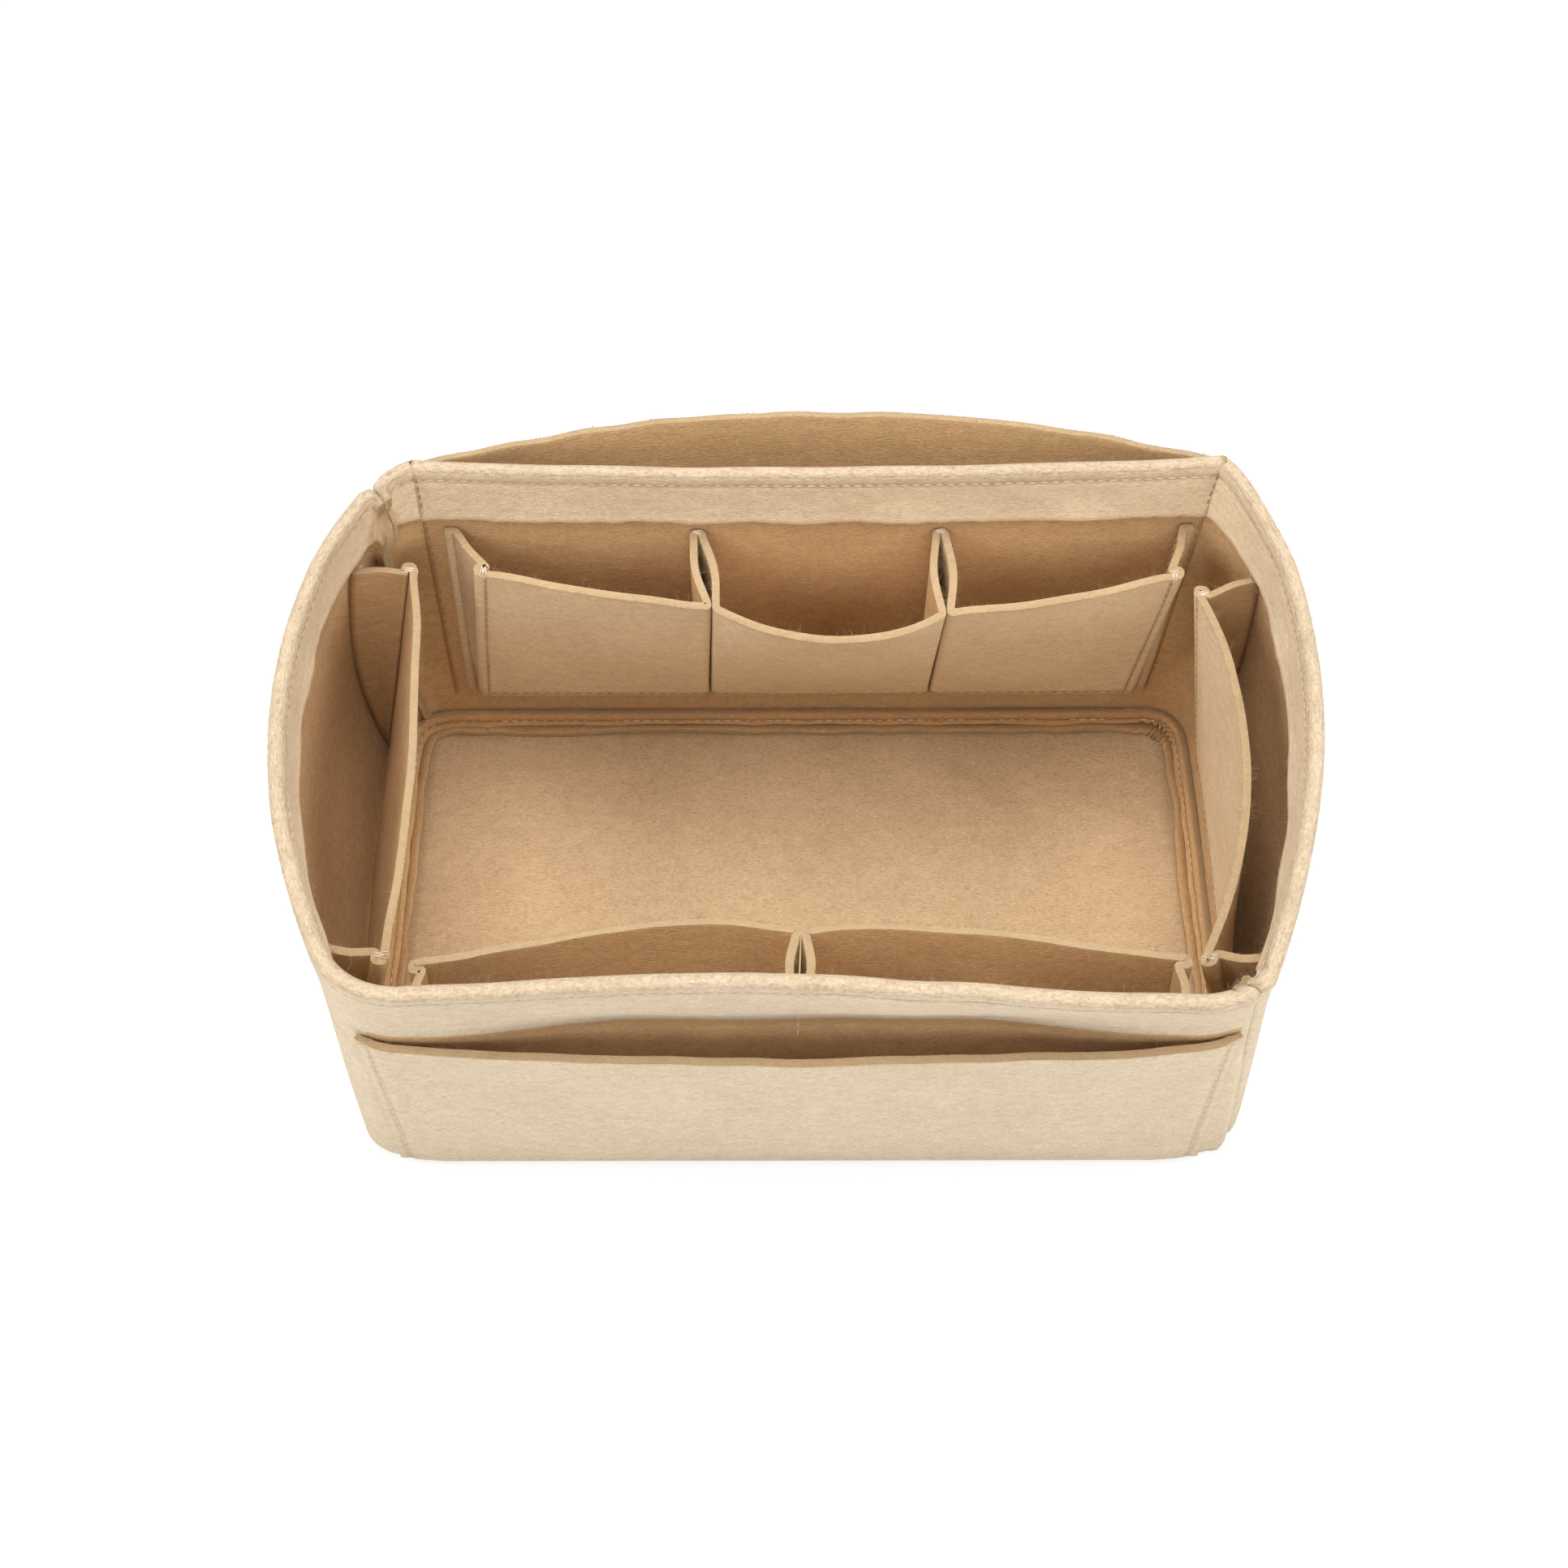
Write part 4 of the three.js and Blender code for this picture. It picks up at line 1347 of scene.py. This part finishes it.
    def creases(self, rise):
        """Points where the strip is creased or sewn at one height, each with how dark its painted
        shade is and how wide."""
        for ridge in range(self.last + 1):
            layer, _ = self.layer(ridge, rise)
            yield self.on_wall(ridge, 0, rise, layer / 2), 0.85, 1.3
            if ridge in (0, self.last):
                yield self.on_front(ridge, 0, rise, HALF, ridge == 0), 0.75, 0.6
            else:
                yield self.on_front(ridge, 0, rise, HALF, True), 0.5, 1.1

    def surface(self):
        """Grid of the strip, its pressed lines and painted shade, frayed edges and thickness."""
        rises = np.concatenate((
            (0, 0.012, 0.03, 0.055, 0.085), np.linspace(0.12, 0.96, 28), (0.975, 0.988, 1.0),
        ))
        rows = []
        for rise in rises:
            points, shares = self.row(rise)
            # Darker along the foot's stitch line, as pressed felt with painted shade.
            mark = np.full(len(points), 0.6 * bell(rise - 0.018, 0.012))
            # Painted shade on both end gussets.
            for end in (slice(self.gusset_columns), slice(-self.gusset_columns, None)):
                mark[end] = np.maximum(mark[end], 0.35)
            # Painted shade where the strip meets the wall, at its folds and in its pleats.
            for place, dark, width in self.creases(rise):
                away = np.linalg.norm(points - place, axis=1)
                mark = np.maximum(mark, dark * bell(away, width))
            raw = np.full(len(points), 0.5 * ease(0.98, 1, rise))
            raw[[0, -1]] = 0.7
            raw[[1, -2]] = np.maximum(raw[[1, -2]], 0.3)
            rows.append((points, mark, raw, shares))
        return stacked(rows)

    def fold_line(self, ridge, rises, depth):
        return np.array([self.on_front(ridge, 0, rise, depth, ridge == 0) for rise in rises])

    def stitch_lines(self):
        """Lines and normals of the stitches: at each fold, on the back strip's end gussets and
        along the foot.
        """
        rises = np.linspace(0.03, 0.985, 40)
        for ridge, outward in ((0, -1), (self.last, 1)):
            yield self.fold_line(ridge, rises, FELT), self.open
            if self.side != "back":
                continue
            spots, normals = [], []
            for rise in np.linspace(0.16, 0.985, 40):
                root, head, layer = self.gusset_ends(ridge, rise)
                ahead = unit(head - root)
                facing = np.sign(np.cross(self.open, UP)[self.axis])
                normal = unit(np.cross(ahead, UP) * -outward * facing)
                reach = min(4.5, 0.4 * np.linalg.norm(head - root))
                spots.append(root + ahead * reach + normal * layer / 2)
                normals.append(normal)
            yield np.array(spots), np.array(normals)
        for panel in self.fronts:
            yield panel["place"](np.linspace(0.0, 1.0, 60), 0.022) + self.open * FELT, self.open

    def tacks(self):
        """Middle, direction and length of the strands that tack the folds and the pleats."""
        along = self.shifted(1.0)
        for ridge, outward in ((0, -1), (self.last, 1)):
            for strand in range(0 if self.side == "front" else 4):
                spot = self.on_front(ridge, outward * (0.2 + 0.5 * strand), 1.0, 0, ridge == 0)
                yield spot + UP * 0.02, self.open + along * 0.16 * (-1) ** strand, 4.6
                face = spot + self.open * FELT - UP * 0.9
                yield face, UP + along * 0.2 * (-1) ** strand, 1.9 + 0.6 * (strand % 2)
        for ridge in range(1, self.last):
            spot = self.on_wall(ridge, 0, 1.0, HALF)
            for strand in range(3):
                aside = self.open * (strand - 1)
                yield spot + 0.6 * aside + UP * 0.12, along + 0.2 * aside, 3.6

    def mouth_edges(self):
        """Both edges of the mouth, with the way their fibres lean."""
        points, shares = self.row(1.0)
        across = unit(np.cross(UP, np.gradient(points, axis=0)))
        for side in (-1, 1):
            lean = across * side
            edge = points + lean * (shares * HALF - 0.15)[:, None] - UP * 0.2
            yield edge, lean + UP * 0.7, 1.0


def strip_bend(piece, side):
    spec = STRIPS[side]
    start, end = spec["bend"]
    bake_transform(piece)
    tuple(start)
    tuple(end)


def seat(piece, node=None):
    """Attaches a piece of the box to the box's body, and hides a node, whose place it takes, if one
    is given.
    """
    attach(piece, "box")
    if node:
        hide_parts(node)


# Operators

class INSERT_OT_floor(bpy.types.Operator):
    """Make the floor sheet and the two layers of its seam"""

    bl_idname = "insert.floor"
    bl_label = "Floor"

    def execute(self, context):
        for name, profile in (("floor_seam_upper", UPPER_BAND), ("floor_seam_lower", LOWER_BAND)):
            surface = band_surface(profile, SEEDS[name])
            band = felt_sheet(name, band_felt(), *surface, closed=True)
            seat(band, "base_panel")
        floor = felt_sheet("shaded_floor_felt", shaded_floor_felt(), *floor_surface())
        seat(floor, "base_panel")
        return {"FINISHED"}


class INSERT_OT_walls(bpy.types.Operator):
    """Make the two wall sheets with their rolled rim, hem and turned-in seams"""

    bl_idname = "insert.walls"
    bl_label = "Walls"

    def execute(self, context):
        for name, first, last, length in (
            ("left_front_wall", BACK_LEFT_SEAM, FRONT_RIGHT_SEAM, 0.47),
            ("back_right_wall", FRONT_RIGHT_SEAM, OUTLINE_SEGMENTS + BACK_LEFT_SEAM, 0.49),
        ):
            surface = wall_surface(first, last, SEEDS[name])
            wall = felt_sheet(name + "_felt", wall_felt(), *surface, finish=wall_finish(surface[0]))
            seat(wall, name)
        return {"FINISHED"}


class INSERT_OT_slip_pockets(bpy.types.Operator):
    """Make the two slip pockets on the outside"""

    bl_idname = "insert.slip_pockets"
    bl_label = "Slip Pockets"

    def execute(self, context):
        for name, surface, flat in (
            ("front_outer_pocket", front_slip_surface, (0.264, 0.09)),
            ("rear_outer_pocket", rear_slip_surface, (0.272, 0.116)),
        ):
            pocket = felt_sheet(name + "_felt", wall_felt(), *surface())
            seat(pocket, name)
        return {"FINISHED"}


class INSERT_OT_pocket_strips(bpy.types.Operator):
    """Fold the four strips of inner pockets, each from one sheet"""

    bl_idname = "insert.pocket_strips"
    bl_label = "Pocket Strips"

    def execute(self, context):
        for side, spec in STRIPS.items():
            surface = PocketStrip(side).surface()
            strip = felt_sheet(f"{side}_pocket_strip", strip_felt(side), *surface)
            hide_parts(*BODY_NODES[spec["body"]])
            strip_bend(strip, side)
        return {"FINISHED"}


class INSERT_OT_stitches(bpy.types.Operator):
    """Sew the stitches and the bar tacks"""

    bl_idname = "insert.stitches"
    bl_label = "Stitches"

    def execute(self, context):
        for piece in (
            sewn_piece("box_stitches", box_stitch_lines(), 0.78, thread_material()),
            sewn_piece("crease_stitches", crease_stitch_lines(), 0.7, strip_thread_material()),
            tack_piece("box_tacks", slip_tacks()),
        ):
            seat(piece)
        for side in STRIPS:
            strip = PocketStrip(side)
            thread = strip_thread_material()
            for piece in (
                sewn_piece(f"{side}_pocket_stitches", strip.stitch_lines(), 0.72, thread),
                tack_piece(f"{side}_pocket_tacks", strip.tacks()),
            ):
                strip_bend(piece, side)
        return {"FINISHED"}


def sewn_piece(name, lines, length_share, material):
    template = stitch_template()
    runs = [stitch_run(line, normals) for line, normals in lines]
    shapes = list(thread_shapes(template, runs, length_share))
    return repeated_shape(name, template, shapes, [material])


def tack_piece(name, strands):
    """Strands of tack thread, each an ellipsoid."""
    template = stitch_template()
    sphere = template_points(template)
    radius = felt_settings().thread_width / MM * 0.3
    askew = (0.31, 0.52, 0.8)
    shapes = []
    for middle, heading, length in strands:
        ahead = unit(np.asarray(heading, float))
        side = unit(np.cross(ahead, askew))
        basis = np.array((side * radius, np.cross(ahead, side) * radius, ahead * length / 2))
        shapes.append(sphere @ basis + middle)
    return repeated_shape(name, template, shapes, [tack_material()])


def slip_tacks():
    """Strands of the tacks at the top corners of the front slip pocket."""
    for side in (-1, 1):
        for strand in range(3):
            x = np.array([side * (FRONT_SLIP_SIDE - 2.2)])
            spot, _, _ = front_slip_row(x, 0.985 - 0.008 * strand)
            yield spot[0] - BACKWARD * HALF, (1, 0, 0.12 * (strand - 1)), 3.6


def inward_at(stations, height):
    """Horizontal directions into the box."""
    ahead = 0.01
    step = wall_points(stations + ahead, height, 0) - wall_points(stations - ahead, height, 0)
    return unit(np.cross(UP, step))


def box_stitch_lines():
    """Lines and normals of the stitches on the box."""
    around = even_stations(0, OUTLINE_SEGMENTS, 3, 1.0)
    turned_in = inward_at(around, RIM_STITCH)
    risen = rim_rise(around, RIM_STITCH, True)
    yield wall_points(around, RIM_STITCH, HEM_FACE - 0.25) + risen, turned_in
    yield wall_points(around, RIM_STITCH, 0.25) + risen, -turned_in
    ring = even_stations(0, OUTLINE_SEGMENTS, 3, 0.0)
    yield wall_points(ring, BAND_STITCH, 4.6 + HALF), inward_at(ring, BAND_STITCH)
    yield from slip_stitch_lines()
    yield from strip_stitch_lines()


def crease_stitch_lines():
    """Lines and normals of the stitches down both back creases, on the inside."""
    for crease, side in ((RIGHT_CREASE, 1), (LEFT_CREASE, -1)):
        station = np.array([crease + 0.006 * side])
        for heights, inset in (((22, HEM_EDGE - 2), FELT), ((HEM_EDGE + 1, 129), HEM_FACE)):
            on_hem = inset > FELT
            spots = [
                (wall_points(station, height, inset) + rim_rise(station, height, on_hem))[0]
                for height in np.linspace(*heights, 40)
            ]
            yield np.array(spots), inward_at(station, 60)[0]


def slip_stitch_lines():
    """Lines and normals of the stitches on the slip pockets."""
    rises = np.linspace(0.02, 0.985, 40)
    out = BACKWARD
    for side in (-1, 1):
        x = np.array([side * (FRONT_SLIP_SIDE - FRONT_SIDE_STITCH)])
        rows = [front_slip_row(x, rise) for rise in rises]
        yield np.array([points[0] - out * thick[0] * HALF for points, thick, _ in rows]), -out
    x = np.linspace(8 - FRONT_SLIP_SIDE, FRONT_SLIP_SIDE - 8, 90)
    points, thick, _ = front_slip_row(x, 0.02)
    yield points - out * (thick * HALF)[:, None], -out
    reach = REAR_SIDE_STITCH / REAR_SLIP_WIDTH * (1 + 2 * REAR_SLIP_REACH)
    for station in (RIGHT_CREASE - REAR_SLIP_REACH + reach, LEFT_CREASE + REAR_SLIP_REACH - reach):
        rows = [rear_slip_row(np.array([station]), rise) for rise in rises]
        yield np.array([points[0] + out * thick[0] * HALF for points, thick, _ in rows]), out
    stations = np.linspace(RIGHT_CREASE, LEFT_CREASE, 90)
    rise = (REAR_FOOT_STITCH - REAR_SLIP_FOOT) / (HEIGHT - REAR_SLIP_FOOT)
    points, thick, _ = rear_slip_row(stations, rise)
    yield points + out * (thick * HALF)[:, None], out


def strip_stitch_lines():
    """Lines and normals of the stitches that come through the walls where a strip is sewn on."""
    rises = np.linspace(0.02, 0.99, 40)
    for side, ridges, lowest in (
        ("left", (0, 1), 0.0), ("right", (0, 1), 0.0), ("front", (1,), 0.7),
    ):
        strip = PocketStrip(side)
        ends = [strip.ridges[ridge] for ridge in ridges]
        for ridge in ends:
            shares = lerp(lowest, 1.0, rises)
            places = lerp(ridge["foot"], ridge["wall"], shares)
            heights = lerp(POCKET_FOOT, POCKET_TOP, shares)
            spots = [
                wall_along(side, np.array([place]), height, 0)[0]
                for place, height in zip(places, heights)
            ]
            yield np.array(spots), -strip.open
        if len(ends) > 1:
            along = np.linspace(ends[0]["foot"], ends[1]["foot"], 60)
            yield wall_along(side, along, POCKET_FOOT + 1.9, 0), -strip.open


class INSERT_OT_fibres(bpy.types.Operator):
    """Let loose fibres stand off the cut edges and the rim"""

    bl_idname = "insert.fibres"
    bl_label = "Loose Fibres"

    def execute(self, context):
        seat(fibre_piece("box_fibres", box_fibre_edges(), SEEDS["box_fibres"]))
        for number, side in enumerate(STRIPS):
            edges = PocketStrip(side).mouth_edges()
            piece = fibre_piece(f"{side}_pocket_fibres", edges, SEEDS["pocket_fibres"] + number)
            strip_bend(piece, side)
        return {"FINISHED"}


def fibre_piece(name, edges, seed):
    template = hair_template()
    shapes = list(fibre_shapes(template, edges, seed))
    return repeated_shape(name, template, shapes, [loose_fibre_material()])


def box_fibre_edges():
    """Edges of the box that fray, the way their fibres lean and their number."""
    around = even_stations(0, OUTLINE_SEGMENTS, 3, 1.0)
    inward = inward_at(around, HEIGHT)
    risen = rim_rise(around, HEIGHT)
    for drop, inset, lean in ((1.6, 0.4, -1), (0.6, 2.6, 0.3), (1.6, 4.8, 1)):
        yield wall_points(around, HEIGHT - drop, inset) + risen, UP + lean * inward, 0.8
    lower = rim_rise(around, HEM_EDGE, True)
    yield wall_points(around, HEM_EDGE + 0.3, 5.9) + lower, inward - 0.5 * UP, 1.2
    out = BACKWARD
    x = np.linspace(-FRONT_SLIP_SIDE, FRONT_SLIP_SIDE, 90)
    stations = np.linspace(RIGHT_CREASE - REAR_SLIP_REACH, LEFT_CREASE + REAR_SLIP_REACH, 90)
    for points, thick, _ in (front_slip_row(x, 1.0), rear_slip_row(stations, 1.0)):
        for side in (-1, 1):
            edge = points + side * out * (thick * HALF - 0.2)[:, None] - UP * 0.2
            yield edge, UP + side * out, 1.0
    heights = np.linspace(50, 124, 30)
    for seam, reach in SEAM_REACH.items():
        for side in (-1, 1):
            spots = []
            for height in heights:
                inset = allowance_end(height, reach) - 0.3
                spot = wall_points([seam], height, inset, side) + rim_rise([seam], height, True)
                spots.append(spot[0])
            yield np.array(spots), inward_at(np.array([seam]), 100)[0], 2.0


class INSERT_OT_stage(bpy.types.Operator):
    """Make the floor, lights and camera"""

    bl_idname = "insert.stage"
    bl_label = "Stage"

    def execute(self, context):
        scene = context.scene
        settings = scene.insert_stage
        floor = self.studio_floor(settings)
        scene.collection.objects.link(floor)
        floor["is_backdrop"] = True
        scene.world = self.studio_world(settings)
        for name, place, share in SOFTBOXES:
            scene.collection.objects.link(self.soft_lamp(name, place, settings.key * share))
        scene.camera = self.camera(settings)
        scene.collection.objects.link(scene.camera)
        scene.view_settings.view_transform = "Standard"
        return {"FINISHED"}

    def studio_floor(self, settings):
        """A matt floor that the camera sees as nearly white."""
        bm = bmesh.new()
        bmesh.ops.create_grid(bm, x_segments=1, y_segments=1, size=FLOOR_SIZE)
        mesh = finished_mesh(bm, "studio_floor")
        material, tree, shader = new_material("studio floor")
        set_values(
            shader, Base_Color=(*settings.floor, 1), Roughness=1.0, Specular_IOR_Level=0.0,
        )
        white = add_node(tree, "ShaderNodeEmission", Strength=1.0)
        path = add_node(tree, "ShaderNodeLightPath")
        share = add_node(tree, "ShaderNodeMath", operation="MULTIPLY")
        share.inputs[1].default_value = FLOOR_GLOW
        tree.links.new(path.outputs["Is Camera Ray"], share.inputs[0])
        mix_shaders(
            tree, share.outputs[0], shader.outputs["BSDF"], white.outputs["Emission"],
            "Material Output",
        )
        mesh.materials.append(material)
        return bpy.data.objects.new("studio_floor", mesh)

    def studio_world(self, settings):
        """A faint light from all round, which the camera sees as a pale backdrop."""
        world = bpy.data.worlds.new("studio")
        world.use_nodes = True
        tree = world.node_tree
        fill = tree.nodes["Background"]
        set_values(fill, Color=(1, 1, 1, 1), Strength=settings.fill)
        pale = (FLOOR_GLOW, FLOOR_GLOW, FLOOR_GLOW, 1)
        backdrop = add_node(tree, "ShaderNodeBackground", Color=pale)
        path = add_node(tree, "ShaderNodeLightPath")
        mix_shaders(
            tree, path.outputs["Is Camera Ray"], fill.outputs["Background"],
            backdrop.outputs["Background"], "World Output",
        )
        return world

    def soft_lamp(self, name, place, power):
        """A round lamp that is turned to the insert."""
        lamp = bpy.data.lights.new(name, "AREA")
        lamp.shape = "DISK"
        lamp.size = LAMP_SIZE
        lamp.energy = power
        light = bpy.data.objects.new(name, lamp)
        light.location = place
        light.rotation_mode = "QUATERNION"
        aim = Vector(LAMP_AIM) - light.location
        light.rotation_quaternion = aim.to_track_quat("-Z", "Y")
        return light

    def camera(self, settings):
        """The camera that was solved from the straight seams."""
        lens = bpy.data.cameras.new("camera")
        lens.sensor_width = SENSOR
        lens.lens = settings.lens
        camera = bpy.data.objects.new("camera", lens)
        pitch, yaw, roll = np.radians(CAMERA_TURN)
        level = np.array((math.cos(yaw), -math.sin(yaw), 0))
        ahead = np.array((math.sin(yaw), math.cos(yaw), 0))
        forward = ahead * math.cos(pitch) - UP * math.sin(pitch)
        upward = np.cross(level, forward)
        right = math.cos(roll) * level + math.sin(roll) * upward
        up = -math.sin(roll) * level + math.cos(roll) * upward
        turn = Matrix((right, up, -forward)).transposed().to_4x4()
        camera.matrix_world = Matrix.Translation(Vector(CAMERA_PLACE) * MM) @ turn
        return camera


class INSERT_PT_panel(bpy.types.Panel):
    """Settings and steps of the insert"""

    bl_label = "Felt Insert"
    bl_idname = "INSERT_PT_panel"
    bl_space_type = "VIEW_3D"
    bl_region_type = "UI"
    bl_category = "Insert"

    def draw(self, context):
        for settings in (context.scene.insert_felt, context.scene.insert_stage):
            box = self.layout.box()
            for name in settings.__annotations__:
                box.prop(settings, name)
        for step in STEPS:
            self.layout.operator(step.bl_idname)


STEPS = (
    INSERT_OT_stage, INSERT_OT_floor, INSERT_OT_walls, INSERT_OT_slip_pockets,
    INSERT_OT_pocket_strips, INSERT_OT_stitches, INSERT_OT_fibres,
)
CLASSES = (FeltSettings, StageSettings, *STEPS, INSERT_PT_panel)


def register():
    for cls in CLASSES:
        bpy.utils.register_class(cls)
    bpy.types.Scene.insert_felt = PointerProperty(type=FeltSettings)
    bpy.types.Scene.insert_stage = PointerProperty(type=StageSettings)


def unregister():
    del bpy.types.Scene.insert_felt
    del bpy.types.Scene.insert_stage
    for cls in reversed(CLASSES):
        bpy.utils.unregister_class(cls)


def main():
    register()
    bpy.ops.insert.stage()
    bpy.ops.insert.floor()
    bpy.ops.insert.walls()
    bpy.ops.insert.slip_pockets()
    bpy.ops.insert.pocket_strips()
    bpy.ops.insert.stitches()
    bpy.ops.insert.fibres()
    boxes = {"cad": CAD_BOX, "visual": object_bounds()}
    {name: [list(corner) for corner in box] for name, box in boxes.items()}


if __name__ == "__main__":
    main()
